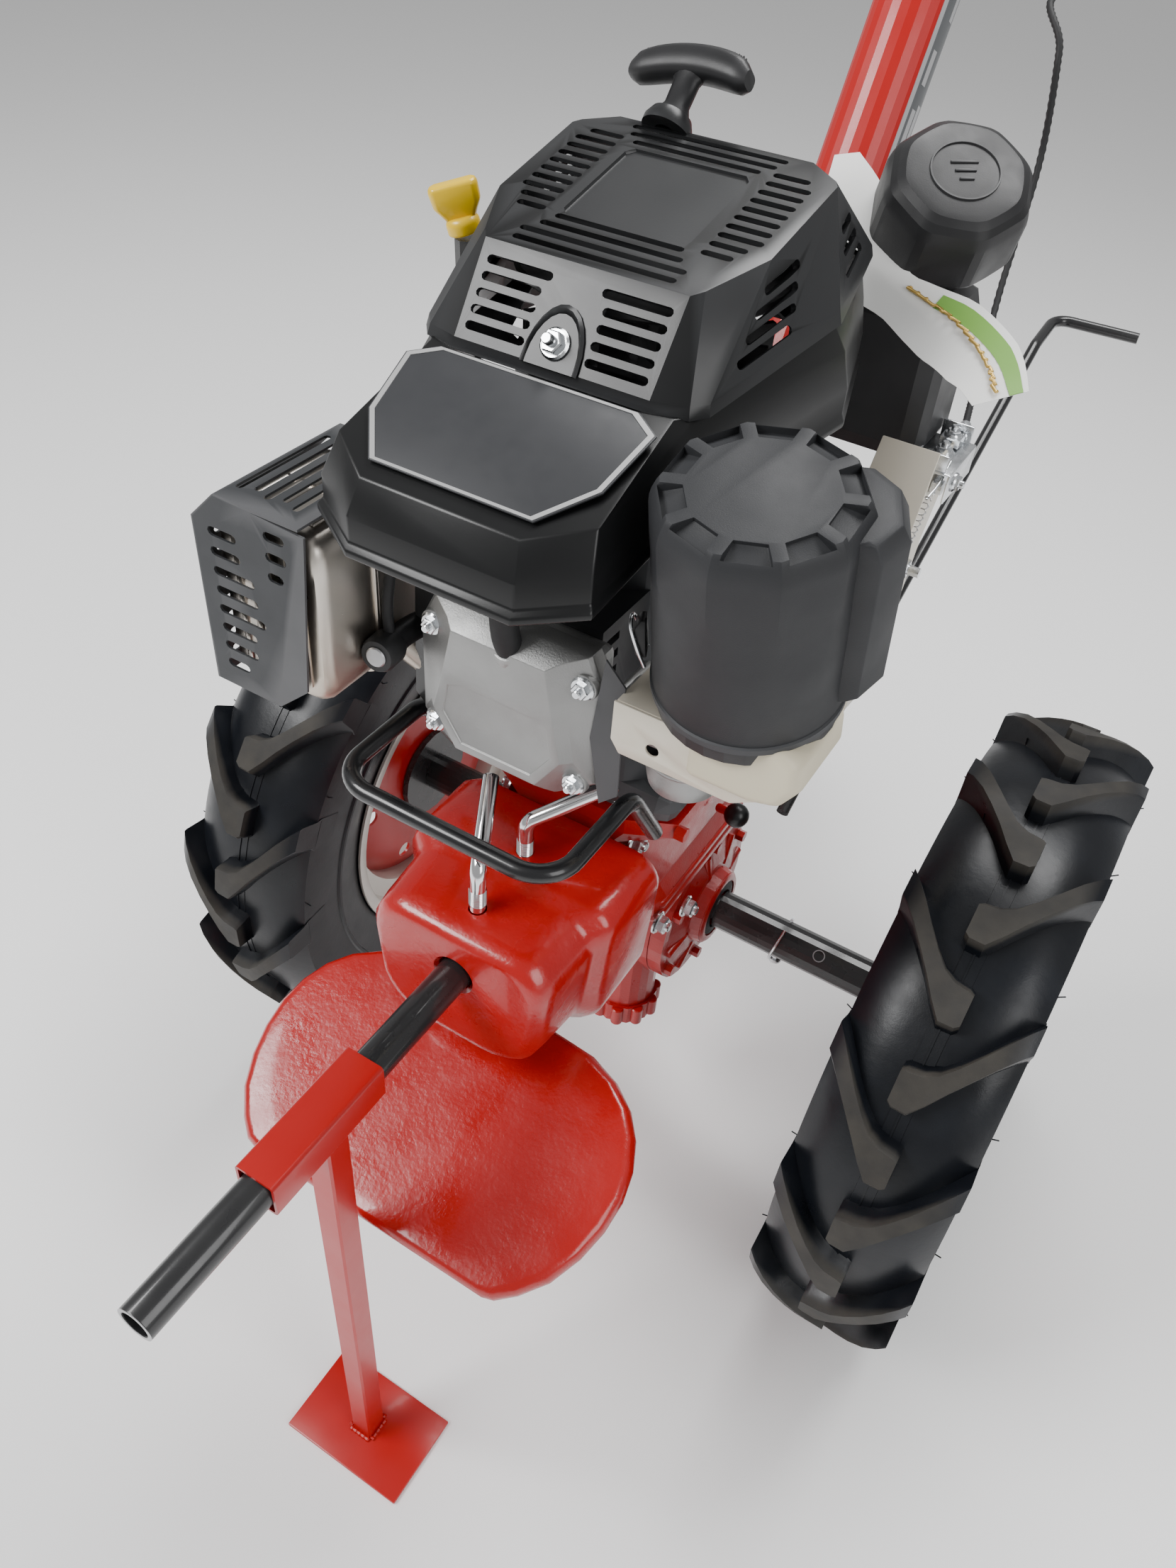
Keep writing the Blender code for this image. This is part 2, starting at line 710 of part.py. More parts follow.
def rocker_cover():
    """The cast cover on the head, with chamfered sides, and its bolts."""
    rear = [(0.055, -0.2760, 0.765), (0.066, -0.2760, 0.742), (0.066, -0.2760, 0.668),
            (0.038, -0.2760, 0.650)]
    middle = [(0.055, -0.2880, 0.765), (0.066, -0.2880, 0.742), (0.066, -0.2880, 0.668),
              (0.038, -0.2880, 0.650)]
    front = [(0.040, -0.3020, 0.757), (0.052, -0.3000, 0.735), (0.050, -0.2960, 0.676),
             (0.030, -0.2950, 0.660)]
    cover = loft("rocker_cover", [octagon_ring(rear), octagon_ring(middle), octagon_ring(front)],
                 aluminium)
    hollow = box("hollow", (0, -0.279, 0.708), (0.090, 0.020, 0.075), None, "cutters")
    cover = carve(cover, [hollow])
    bolts = []
    for side in (-1, 1):
        for height in (0.742, 0.674):
            bolts.append(hex_bolt((side * 0.0575, -0.2920, height), (0, -1, 0), 0.008, 0.010, False))
    union("rocker_cover", [cover, *bolts])


def fan():
    """The flywheel with its upright blades."""
    low = 0.868
    wheel = turned("flywheel_fan", [(0.078, low + 0.012), (0.078, low), (0.0128, low),
                                    (0.0128, low + 0.012)], aluminium, (0, CRANK_Y, 0), "Z", 24)
    blades = []
    for k in range(12):
        angle = 2 * math.pi * k / 12
        blade = box("blade", (0, 0, 0), (0.024, 0.004, 0.026), aluminium)
        blade.rotation_euler.z = angle + 0.5
        blade.location = (0.062 * math.cos(angle), CRANK_Y + 0.062 * math.sin(angle), low + 0.022)
        blades.append(blade)
    bpy.context.view_layer.update()
    return union("flywheel_fan", [wheel, join("blades", blades)])


HOUSING_RINGS = (
    ((0.051, -0.3675, 0.828), (0.086, -0.348, 0.835), (0.084, -0.270, 0.842),
     (0.120, -0.130, 0.862), (0.100, -0.060, 0.868), (0.060, -0.030, 0.872)),
    ((0.052, -0.3660, 0.848), (0.086, -0.346, 0.855), (0.084, -0.270, 0.862),
     (0.120, -0.130, 0.882), (0.100, -0.060, 0.888), (0.060, -0.030, 0.890)),
    ((0.048, -0.3550, 0.873), (0.078, -0.334, 0.880), (0.082, -0.270, 0.888),
     (0.114, -0.135, 0.908), (0.096, -0.066, 0.914), (0.057, -0.036, 0.916)),
    ((0.059, -0.2620, 0.905), (0.074, -0.257, 0.905), (0.080, -0.250, 0.906),
     (0.102, -0.140, 0.926), (0.090, -0.075, 0.940), (0.054, -0.050, 0.944)),
)
GUARD_RINGS = (
    ((0.063, -0.2570, 0.911), (0.078, -0.252, 0.911), (0.084, -0.245, 0.912),
     (0.107, -0.140, 0.931), (0.094, -0.070, 0.945), (0.058, -0.045, 0.949)),
    ((0.063, -0.2300, 0.953), (0.072, -0.210, 0.958), (0.081, -0.187, 0.9635),
     (0.083, -0.125, 0.9785), (0.080, -0.108, 0.9825), (0.061, -0.0945, 0.986)),
)


def on_guard_top(across, back):
    """A point on the guard's raked top, measured back from its front edge."""
    return GUARD_FRONT + Vector((across, back, back * RAKE_SLOPE))


def housings():
    """The blower housing, the slotted fan guard above it and the badge plate on its slope."""
    lower = loft("blower_housing", [octagon_ring(ring) for ring in HOUSING_RINGS], black_plastic,
                 ends="none")
    add_wall(lower, HOUSING_WALL)
    guard = loft("fan_guard", [octagon_ring(ring) for ring in GUARD_RINGS], black_plastic, ends="last")
    add_wall(guard, HOUSING_WALL)
    guard = apply_evaluated(guard)
    slot_turn = Matrix.Rotation(RAKE, 3, "X")
    places = []
    for k in range(9):
        for side in (-1, 1):
            places.append(on_guard_top(side * 0.058, 0.024 + 0.0115 * k))
    top_slots = boxes("top_slots", places, (0.026, 0.0050, 0.012), turn=slot_turn)
    rows = []
    for k in range(4):
        rows.append(on_guard_top(0.0, 0.005 + 0.0085 * k))
    front_slots = boxes("front_slots", rows, (0.070, 0.0042, 0.012), turn=slot_turn)
    rear = []
    for k in range(3):
        rear.append(on_guard_top(0.0, 0.115 + 0.0080 * k))
    rear_slots = boxes("rear_slots", rear, (0.060, 0.0042, 0.012), turn=slot_turn)
    face_turn = Matrix.Rotation(math.atan2(0.042, 0.027), 3, "X")
    face = []
    for k in range(4):
        for side in (-1, 1):
            share = 0.18 + 0.19 * k
            face.append((side * 0.038, -0.257 + 0.027 * share, 0.911 + 0.042 * share))
    face_slots = boxes("face_slots", face, (0.034, 0.0050, 0.012), turn=face_turn)
    carve(guard, [top_slots, front_slots, rear_slots, face_slots])
    badge()
    nut = hex_bolt((0, -0.2520, 0.923), (0, -0.842, 0.539), 0.010, 0.008)
    nut.name = "guard_nut"


def add_wall(item, wall):
    """Give an open skin a wall on its inner side."""
    changed = item.modifiers.new("wall", "SOLIDIFY")
    changed.thickness = wall
    changed.offset = -1
    changed.use_even_offset = True
    return item


def badge():
    """A plain plate on the housing's sloping front."""
    slope = math.atan2(0.905 - 0.875, 0.3445 - 0.266)
    outline = [(0.055, 0.036), (0.062, 0.028), (0.062, -0.010), (0.044, -0.040), (-0.044, -0.040),
               (-0.062, -0.010), (-0.062, 0.028), (-0.055, 0.036)]
    turn = Matrix.Rotation(slope, 3, "X")
    normal = turn @ Vector((0, 0, 1))
    centre = Vector((0, -0.306, 0.8915)) + normal * 0.0022
    return plate("badge_plate", outline, 0.0012, grey_plastic, turn, centre)


def exhaust():
    """The muffler, its bolted pipe and the slotted heat shield round it."""
    body = box("muffler", (-0.133, -0.296, 0.750), (0.080, 0.096, 0.122), steel)
    bevel(body, 0.014, 3)
    shield = box("muffler_shield", (-0.1405, -0.296, 0.7515), (0.0830, 0.112, 0.139), grey_plastic)
    inner = box("inner", (-0.1355, -0.290, 0.7440), (0.0900, 0.115, 0.150), None, "cutters")
    slots = [(-0.1405, -0.335, 0.700 + 0.0145 * k) for k in range(7)]
    front_slots = boxes("front_slots", slots, (0.050, 0.050, 0.0050))
    top = [(-0.165 + 0.012 * k, -0.296, 0.819) for k in range(5)]
    top_slots = boxes("top_slots", top, (0.005, 0.070, 0.02))
    side = [(-0.180, -0.315 + 0.0140 * k, 0.752) for k in range(5)]
    side_slots = boxes("side_slots", side, (0.02, 0.005, 0.070))
    carve(shield, [inner, front_slots, top_slots, side_slots])


def ignition():
    """The plug in the head's side and the boot with its lead."""
    rod("spark_plug", (-0.0563, -0.2665, 0.722), (-0.0670, -0.2665, 0.722), 0.007, steel, 12)
    cap = rod("plug_boot", (-0.0700, -0.2665, 0.722), (-0.0910, -0.2665, 0.722), 0.0080, rubber, 14)
    lead = rod("lead", (-0.0830, -0.2620, 0.722), (-0.0830, -0.3080, 0.716), 0.0080, rubber, 14)
    union("plug_boot", [cap, lead])


def intake():
    """The carburettor, its bracket, and the air filter with its cover and latch."""
    turn = Matrix.Rotation(RAKE, 3, "X")
    down = turn @ Vector((0, 0, -1))
    foot = CANISTER_TOP + down * CANISTER_HEIGHT
    rod("filter_base", foot - down * 0.001, foot + down * 0.011, CANISTER_R - 0.001, grey_plastic, 28)
    cover = turned("filter_cover", [(0.044, 0.0), (CANISTER_R, -0.012), (CANISTER_R, -CANISTER_HEIGHT + 0.0015),
                                    (CANISTER_R - 0.003, -CANISTER_HEIGHT + 0.0015),
                                    (CANISTER_R - 0.003, -0.014), (0.043, -0.004), (0.0, -0.004),
                                    (0.0, 0.0)], grey_plastic, (0, 0, 0), "Z", 20)
    cover = apply_evaluated(cover)
    cover.rotation_mode = "QUATERNION"
    cover.rotation_quaternion = turn.to_quaternion()
    cover.location = CANISTER_TOP
    element = turned("filter_element", [(0.038, -0.012), (0.038, -CANISTER_HEIGHT + 0.004),
                                        (0.020, -CANISTER_HEIGHT + 0.004), (0.020, -0.012)],
                     filter_paper, (0, 0, 0), "Z", 24)
    element = apply_evaluated(element)
    element.rotation_mode = "QUATERNION"
    element.rotation_quaternion = turn.to_quaternion()
    element.location = CANISTER_TOP
    bracket = box("filter_bracket", (0.128, -0.292, 0.7340), (0.120, 0.0020, 0.039), cream)
    shelf = box("shelf", (0.128, -0.2625, 0.7525), (0.120, 0.0610, 0.0020), cream)
    union("filter_bracket", [bracket, shelf])
    body = box("carburettor", (0.115, -0.262, 0.7300), (0.044, 0.046, 0.030), aluminium)
    bevel(body, 0.004, 1)
    throat = rod("throat", (0.0670, -0.262, 0.726), (0.094, -0.262, 0.726), 0.014, aluminium, 20)
    bowl = rod("bowl", (0.115, -0.262, 0.690), (0.115, -0.262, 0.716), 0.023, aluminium, 28)
    drain = rod("drain", (0.115, -0.262, 0.680), (0.115, -0.262, 0.692), 0.007, aluminium, 6)
    union("carburettor", [body, throat, bowl, drain])
    latch()


def latch():
    """The wire bail that holds the filter's cover."""
    points = [LATCH_PIVOT + Vector(step) for step in ((0, 0, 0), (-0.005, -0.006, 0.004), (-0.007, -0.014, 0.016),
                                                      (-0.001, -0.024, 0.026), (0.007, -0.029, 0.022))]
    return tube("filter_latch", rounded_route(points, 3), 0.0016, steel)


def fuel_system():
    """The tank, its lobed cap and the paper ring on the neck."""
    tank = box("fuel_tank", (0.0900, 0.0330, 0.8420), (0.092, 0.076, 0.108), black_plastic)
    bevel(tank, 0.014, 2)
    neck = rod("neck", CAP_TOP - CAP_AXIS * 0.092, CAP_TOP - CAP_AXIS * 0.032, 0.027, black_plastic, 24)
    union("fuel_tank", [tank, neck])
    lobes = []
    for k in range(32):
        angle = 2 * math.pi * k / 32
        radius = CAP_R * (0.975 + 0.025 * math.cos(8 * angle))
        lobes.append((radius * math.cos(angle), radius * math.sin(angle)))
    turn = Vector((0, 0, 1)).rotation_difference(CAP_AXIS).to_matrix()
    rings = []
    for height, share in ((-0.040, 0.98), (-0.038, 1.0), (-0.012, 1.0), (-0.004, 0.93), (0.0, 0.80)):
        rings.append([CAP_TOP + turn @ Vector((x * share, y * share, height)) for x, y in lobes])
    cap = loft("fuel_cap", rings, black_plastic)
    hollow = rod("hollow", CAP_TOP - CAP_AXIS * 0.053, CAP_TOP - CAP_AXIS * 0.020, 0.0330, None, 20, "cutters")
    carve(cap, [hollow])


def hang_tag():
    """A blank paper tag that hangs from the filler neck."""
    strip = [(0.0900, -0.040), (0.1180, -0.046), (0.1480, -0.044), (0.1700, -0.040)]
    outer = [(x, y, 0.905) for x, y in strip]
    lower = [(x + 0.010, y - 0.014, 0.860) for x, y in strip]
    rings = []
    for row in (outer, lower):
        near = [Vector(p) for p in row]
        far = [Vector(p) + Vector((0.0003, -0.0007, 0)) for p in reversed(row)]
        rings.append([*near, *far])
    return loft("hang_tag", rings, tag_paper)


# ---- controls ----
def controls():
    """The cream control plate with the throttle arm that the cable pulls."""
    outline = [(-0.060, -0.075), (0.010, -0.090), (0.060, 0.050), (0.060, 0.085), (-0.005, 0.085),
               (-0.045, 0.010)]
    turn = Matrix(((0, 0, 1), (1, 0, 0), (0, 1, 0)))
    plate("control_plate", outline, 0.0020, cream, turn, (0.1500, -0.030, 0.715))
    arm = box("throttle_arm", (0.1540, 0.010, 0.783), (0.0025, 0.040, 0.010), zinc)
    post = rod("post", THROTTLE_POST, THROTTLE_POST + Vector((0.0076, 0, 0)), 0.005, zinc, 12)
    union("throttle_arm", [arm, post])
    rod_points = corner_route([SHIFT_START, (0.100, 0.170, 0.533), (0.100, 0.510, 0.698),
                               (0.100, 0.575, 0.705), (0.185, 0.580, 0.705)], 0.018, 4)
    tube("shift_rod", rod_points, 0.0055, black_paint)
    knob = rod("knob_rod", KNOB_ROOT, (0.0760, -0.063, 0.478), 0.004, red_paint, 12)
    shape = bmesh.new()
    bmesh.ops.create_uvsphere(shape, u_segments=12, v_segments=8, radius=0.0103)
    mesh = bpy.data.meshes.new("ball")
    shape.to_mesh(mesh)
    shape.free()
    ball = add("ball", mesh, black_plastic)
    ball.location = (0.0840, -0.067, 0.482)
    union("gear_knob", [knob, ball])


def column_point(z):
    """The middle of the column at a height."""
    return Vector((0, 0.160 + math.tan(COLUMN_LEAN) * (z - 0.930), z))


def handlebar():
    """The column, the bent handlebar clamped to its top, grips and levers."""
    column = rod("column", column_point(0.620), column_point(1.040), COLUMN_R, red_paint, 28)
    foot = box("foot", (0, -0.012, 0.5950), (0.060, 0.050, 0.049), red_paint)
    union("handle_column", [foot, column])
    bar_route = corner_route([(-0.270, 0.863, 1.030), (-0.250, 0.640, 1.055), (-0.045, 0.245, 1.056),
                              (0.045, 0.245, 1.056), (0.250, 0.640, 1.055), (0.270, 0.863, 1.030)],
                             0.045, 4)
    tube("handlebar", bar_route, 0.0125, black_paint)


def grips_and_levers():
    """Rubber grips on the bar's ends, with a lever under each."""
    for side, word in ((1, "left"), (-1, "right")):
        bend = Vector((side * 0.250, 0.640, 1.055))
        far = Vector((side * 0.270, 0.863, 1.030))
        near = bend.lerp(far, 0.43)
        ahead = (far - near).normalized()
        sleeve = rod("grip_" + word, near, far + ahead * 0.004, 0.0165, rubber, 20)
        core = rod("core", near - ahead * 0.02, far + ahead * 0.0003, 0.0125 + GAP, None, 16, "cutters")
        carve(sleeve, [core])
    for side, name in ((1, "throttle_lever"), (-1, "clutch_lever")):
        pivot = Vector((side * LEVER_PIVOT.x, LEVER_PIVOT.y, LEVER_PIVOT.z))
        tip = Vector((side * 0.2660, 0.835, 0.9700))
        block = box("block", pivot, (0.012, 0.022, 0.016), black_paint)
        blade = tube("blade", corner_route([pivot, pivot + Vector((0, 0.03, -0.004)), tip], 0.02, 3),
                     0.0045, black_paint, 2)
        union(name, [blade, block])


CABLE_ROUTE = ((0.2440, 0.668, 1.0180), (0.2200, 0.560, 1.0200), (0.1600, 0.420, 1.0330),
               (0.0840, 0.271, 1.0280), (0.1030, 0.227, 1.0000), (0.1120, 0.225, 0.9300),
               (0.1200, 0.180, 0.8550), (0.1380, 0.105, 0.8080), (0.1560, 0.045, 0.7920))


def throttle_cable():
    """The cable from the lever on the handlebar to the arm on the engine."""
    route = rounded_route([Vector(point) for point in CABLE_ROUTE], 3)
    tube("throttle_cable", route, 0.0025, black_plastic, 2)


def dipstick():
    """The dipstick, which stands in its tube, with its yellow pull."""
    low = Vector((-0.1362, -0.1428, 0.9165))
    ahead = Vector((-0.035, -0.022, 0.132)).normalized()
    plug = rod("dipstick", low, low + ahead * 0.010, 0.0105, yellow_plastic, 16)
    pull = box("pull", low + ahead * 0.022, (0.012, 0.034, 0.028), yellow_plastic,
               turn=Vector(ahead).to_track_quat("Z", "Y").to_matrix())
    bevel(pull, 0.004, 2)
    return union("dipstick", [plug, pull])


def stand_and_bar():
    """The sliding front bar with the square-sleeved stand."""
    rod("weight_bar", (0, BAR_FRONT, BAR_Z), (0, BAR_FRONT + BAR_LENGTH, BAR_Z), BAR_R, black_paint, 28)
    outer = box("stand", (0, STAND_Y, BAR_Z), (2 * SLEEVE_HALF, 2 * STAND_HALF, 2 * SLEEVE_HALF), red_paint)
    bore = rod("bore", (0, STAND_Y - 0.1, BAR_Z), (0, STAND_Y + 0.1, BAR_Z), BAR_R + GAP, None, 28, "cutters")
    leg_top = BAR_Z - SLEEVE_HALF + 0.001
    leg = box("leg", (0, LEG_Y, leg_top / 2), (2 * LEG_HALF, 2 * LEG_HALF, leg_top), red_paint)
    foot = box("foot", (0, LEG_Y, FOOT_SIZE[2] / 2), FOOT_SIZE, red_paint)
    stand = union("stand", [outer, leg, foot])
    carve(stand, [bore])


def block_section(y, half, low, high, round_low):
    """One upright section of the cast block."""
    return octagon_ring([(half * 0.80, y, high), (half, y, high - 0.018), (half, y, high - 0.050),
                         (half * 0.80, y, low + round_low), (half * 0.40, y, low)])


def front_weight():
    """The cast block that holds the bar, the plate under it and the two clamp screws."""
    rings = [block_section(BLOCK_FRONT, 0.066, 0.432, 0.536, 0.022),
             block_section(BLOCK_FRONT + 0.006, 0.073, 0.424, 0.543, 0.024),
             block_section(-0.290, 0.076, 0.424, 0.548, 0.024),
             block_section(-0.283, 0.086, 0.424, 0.552, 0.024),
             block_section(BLOCK_REAR, 0.088, 0.430, 0.552, 0.024)]
    block = loft("weight_block", rings, red_cast)
    bore = rod("bore", (0, BLOCK_FRONT - 0.05, BAR_Z), (0, BLOCK_REAR + 0.05, BAR_Z), BAR_R + GAP,
               None, 28, "cutters")
    holes = [rod("hole", (0, y, 0.5050), (0, y, 0.56), 0.0064, None, 16, "cutters") for y in CLAMP_YS]
    carve(block, [bore, *holes])
    slope = math.radians(20)
    outline = [(-0.112, 0.0), (0.112, 0.0)]
    right = [(0.140, 0.030), (0.156, 0.070), (0.158, 0.108), (0.146, 0.145), (0.120, 0.172), (0.085, 0.186)]
    outline += right
    outline += [(-x, y) for x, y in reversed(right)]
    turn = Matrix.Rotation(slope, 3, "X")
    lift = turn @ Vector((0, 0, -0.010))
    slab = plate("weight_plate", outline, 0.020, red_cast, turn, Vector((0, -0.463, 0.3455)) + lift)
    bevel(slab, 0.005, 2, 50)
    clamp_screw("clamp_screw_front", CLAMP_YS[0], math.radians(117))
    clamp_screw("clamp_screw_rear", CLAMP_YS[1], math.radians(41))


def clamp_screw(name, y, heading):
    """An L-handled screw that presses on the bar. Its heading is measured from +X towards +Y."""
    rise = math.radians(27)
    ahead = Vector((math.cos(heading) * math.cos(rise), math.sin(heading) * math.cos(rise),
                    math.sin(rise)))
    low = Vector((0, y, BAR_Z + BAR_R + 0.0006))
    bend = Vector((0, y, 0.582))
    route = corner_route([low, bend, bend + ahead * 0.068], 0.012, 5)
    return tube(name, route, 0.0060, zinc)


def guard_bar():
    """The round bar bent round the engine's front."""
    route = corner_route([(-0.081, -0.225, 0.590), (-0.081, -0.268, 0.655), (-0.081, -0.360, 0.655),
                          (0.081, -0.360, 0.655), (0.081, -0.268, 0.655), (0.081, -0.225, 0.590)],
                         0.026, 5)
    return tube("guard_bar", route, 0.0062, black_paint)


def starter_and_dipstick():
    """The recoil starter's handle and the oil dipstick."""
    middle = Vector((-0.031, -0.066, 1.0135))
    along = Vector((0.98, -0.12, 0.12)).normalized()
    grip = tube("starter_grip", [middle - along * 0.0395, middle, middle + along * 0.0395], 0.0085,
                black_plastic)
    bpy.context.view_layer.update()
    grip = apply_modifiers(grip)
    stem = rod("stem", STARTER_STEM, (-0.0312, -0.070, 1.009), 0.0070, black_plastic, 16)
    union("starter_grip", [grip, stem])
    route = [(-0.0775, -0.1420, 0.690), (-0.1100, -0.1420, 0.735), (-0.1310, -0.1420, 0.800),
             (-0.1354, -0.1423, 0.9130)]
    tube("dipstick_tube", corner_route(route, 0.03, 3), 0.0080, black_plastic, 2)


def finish_frame():
    """Put the moving pieces' origins on their axes, shade everything, and move it to the frame."""
    for name, point in PIVOTS.items():
        set_origin(PARTS.objects[name], point)
    for item in PARTS.objects:
        smooth(item)
        item.location.y += FRAME_SHIFT_Y


def main():
    """Build the machine."""
    global PARTS, CUTTERS
    clear_scene()
    PARTS = bpy.data.collections.new("tiller")
    CUTTERS = bpy.data.collections.new("cutters")
    bpy.context.scene.collection.children.link(PARTS)
    bpy.context.scene.collection.children.link(CUTTERS)
    axle_set()
    gearbox()
    geared_shafts()
    engine()
    exhaust()
    ignition()
    intake()
    fuel_system()
    hang_tag()
    controls()
    handlebar()
    grips_and_levers()
    throttle_cable()
    dipstick()
    stand_and_bar()
    front_weight()
    guard_bar()
    starter_and_dipstick()
    finish_frame()


main()
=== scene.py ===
"""Looks for the walk-behind tiller: materials, detailed pieces, floor, lights and camera."""
import math

import bmesh
import bpy
from mathutils import Matrix, Vector


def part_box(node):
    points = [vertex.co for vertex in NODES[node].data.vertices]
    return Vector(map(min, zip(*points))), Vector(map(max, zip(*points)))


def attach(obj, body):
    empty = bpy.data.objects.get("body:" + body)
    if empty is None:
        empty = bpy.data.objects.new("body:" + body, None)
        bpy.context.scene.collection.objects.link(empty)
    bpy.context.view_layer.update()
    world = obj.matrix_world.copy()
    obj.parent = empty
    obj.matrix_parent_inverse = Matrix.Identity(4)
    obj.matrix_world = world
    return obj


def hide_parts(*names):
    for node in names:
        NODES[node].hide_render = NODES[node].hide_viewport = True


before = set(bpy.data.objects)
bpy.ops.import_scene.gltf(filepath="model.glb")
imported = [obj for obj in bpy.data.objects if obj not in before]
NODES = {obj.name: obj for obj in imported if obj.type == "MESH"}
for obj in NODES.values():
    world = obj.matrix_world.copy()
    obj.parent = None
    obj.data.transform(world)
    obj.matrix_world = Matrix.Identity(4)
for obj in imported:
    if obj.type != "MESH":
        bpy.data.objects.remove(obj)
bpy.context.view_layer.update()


def middle(node):
    """The middle of a CAD node's box."""
    low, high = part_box(node)
    return (Vector(low) + Vector(high)) / 2


AXLE = middle("axle_shaft")          # the axle's middle, in the frame
SHIFT = Vector((0, AXLE.y, 0))       # pieces below are drawn about the axle, then moved by this
WHEEL_X = middle("wheel_rim_left").x
WHEEL_R = AXLE.z


# ---------------------------------------------------------------- materials
class Look:
    """A small helper that wires nodes into one Principled material."""

    def __init__(self, name, colour, roughness, metallic=0.0, coat=0.0, coat_roughness=0.08):
        self.material = bpy.data.materials.new(name)
        self.material.use_nodes = True
        self.tree = self.material.node_tree
        self.shader = self.tree.nodes["Principled BSDF"]
        self.colour = colour
        self.set("Base Color", (*colour, 1.0))
        self.set("Roughness", roughness)
        self.set("Metallic", metallic)
        self.set("Coat Weight", coat)
        self.set("Coat Roughness", coat_roughness)
        if max(colour) < 0.05:
            self.set("Specular IOR Level", 0.34)
        self.height = None
        self.place = self.node("ShaderNodeTexCoord").outputs["Object"]

    def set(self, socket, value):
        self.shader.inputs[socket].default_value = value

    def node(self, kind, **values):
        made = self.tree.nodes.new(kind)
        for key, value in values.items():
            setattr(made, key, value)
        return made

    def link(self, start, end):
        self.tree.links.new(start, end)

    def noise(self, scale, detail=3.0, roughness=0.55, stretch=None):
        """A noise value over the object, in cycles per metre, drawn out along an axis if asked."""
        made = self.node("ShaderNodeTexNoise")
        made.inputs["Scale"].default_value = scale
        made.inputs["Detail"].default_value = detail
        made.inputs["Roughness"].default_value = roughness
        source = self.place
        if stretch:
            mapping = self.node("ShaderNodeMapping")
            mapping.inputs["Scale"].default_value = stretch
            self.link(source, mapping.inputs["Vector"])
            source = mapping.outputs["Vector"]
        self.link(source, made.inputs["Vector"])
        return made.outputs["Fac"]

    def ramp(self, value, low, high, start, end):
        """A value remapped from low..high to start..end, clamped."""
        made = self.node("ShaderNodeMapRange")
        made.inputs["From Min"].default_value = low
        made.inputs["From Max"].default_value = high
        made.inputs["To Min"].default_value = start
        made.inputs["To Max"].default_value = end
        self.link(value, made.inputs["Value"])
        return made.outputs["Result"]

    def vary_roughness(self, scale, low, high, detail=4.0):
        """Let roughness drift, as handling and flow leave it."""
        self.link(self.ramp(self.noise(scale, detail), 0.3, 0.7, low, high),
                  self.shader.inputs["Roughness"])
        return self

    def mix_colour(self, factor, colour):
        """Mix another colour over the base where a factor says."""
        made = self.node("ShaderNodeMix", data_type="RGBA")
        self.link(factor, made.inputs["Factor"])
        before = self.shader.inputs["Base Color"]
        if before.is_linked:
            self.link(before.links[0].from_socket, made.inputs[6])
        else:
            made.inputs[6].default_value = (*self.colour, 1.0)
        made.inputs[7].default_value = (*colour, 1.0)
        self.link(made.outputs[2], before)
        return self

    def bump(self, scale, strength, distance, detail=3.0, stretch=None, low=0.0, high=1.0):
        """Add a bump layer of a noise."""
        made = self.node("ShaderNodeBump")
        made.inputs["Strength"].default_value = strength
        made.inputs["Distance"].default_value = distance
        value = self.noise(scale, detail, stretch=stretch)
        if low > 0.0 or high < 1.0:
            value = self.ramp(value, low, high, 0.0, 1.0)
        self.link(value, made.inputs["Height"])
        if self.height:
            self.link(self.height, made.inputs["Normal"])
        self.height = made.outputs["Normal"]
        self.link(self.height, self.shader.inputs["Normal"])
        return self

    def edges(self, colour, amount=0.5):
        """Lighten worn edges, found from how the surface curves."""
        geometry = self.node("ShaderNodeNewGeometry")
        worn = self.ramp(geometry.outputs["Pointiness"], 0.53, 0.6, 0.0, amount)
        return self.mix_colour(worn, colour)


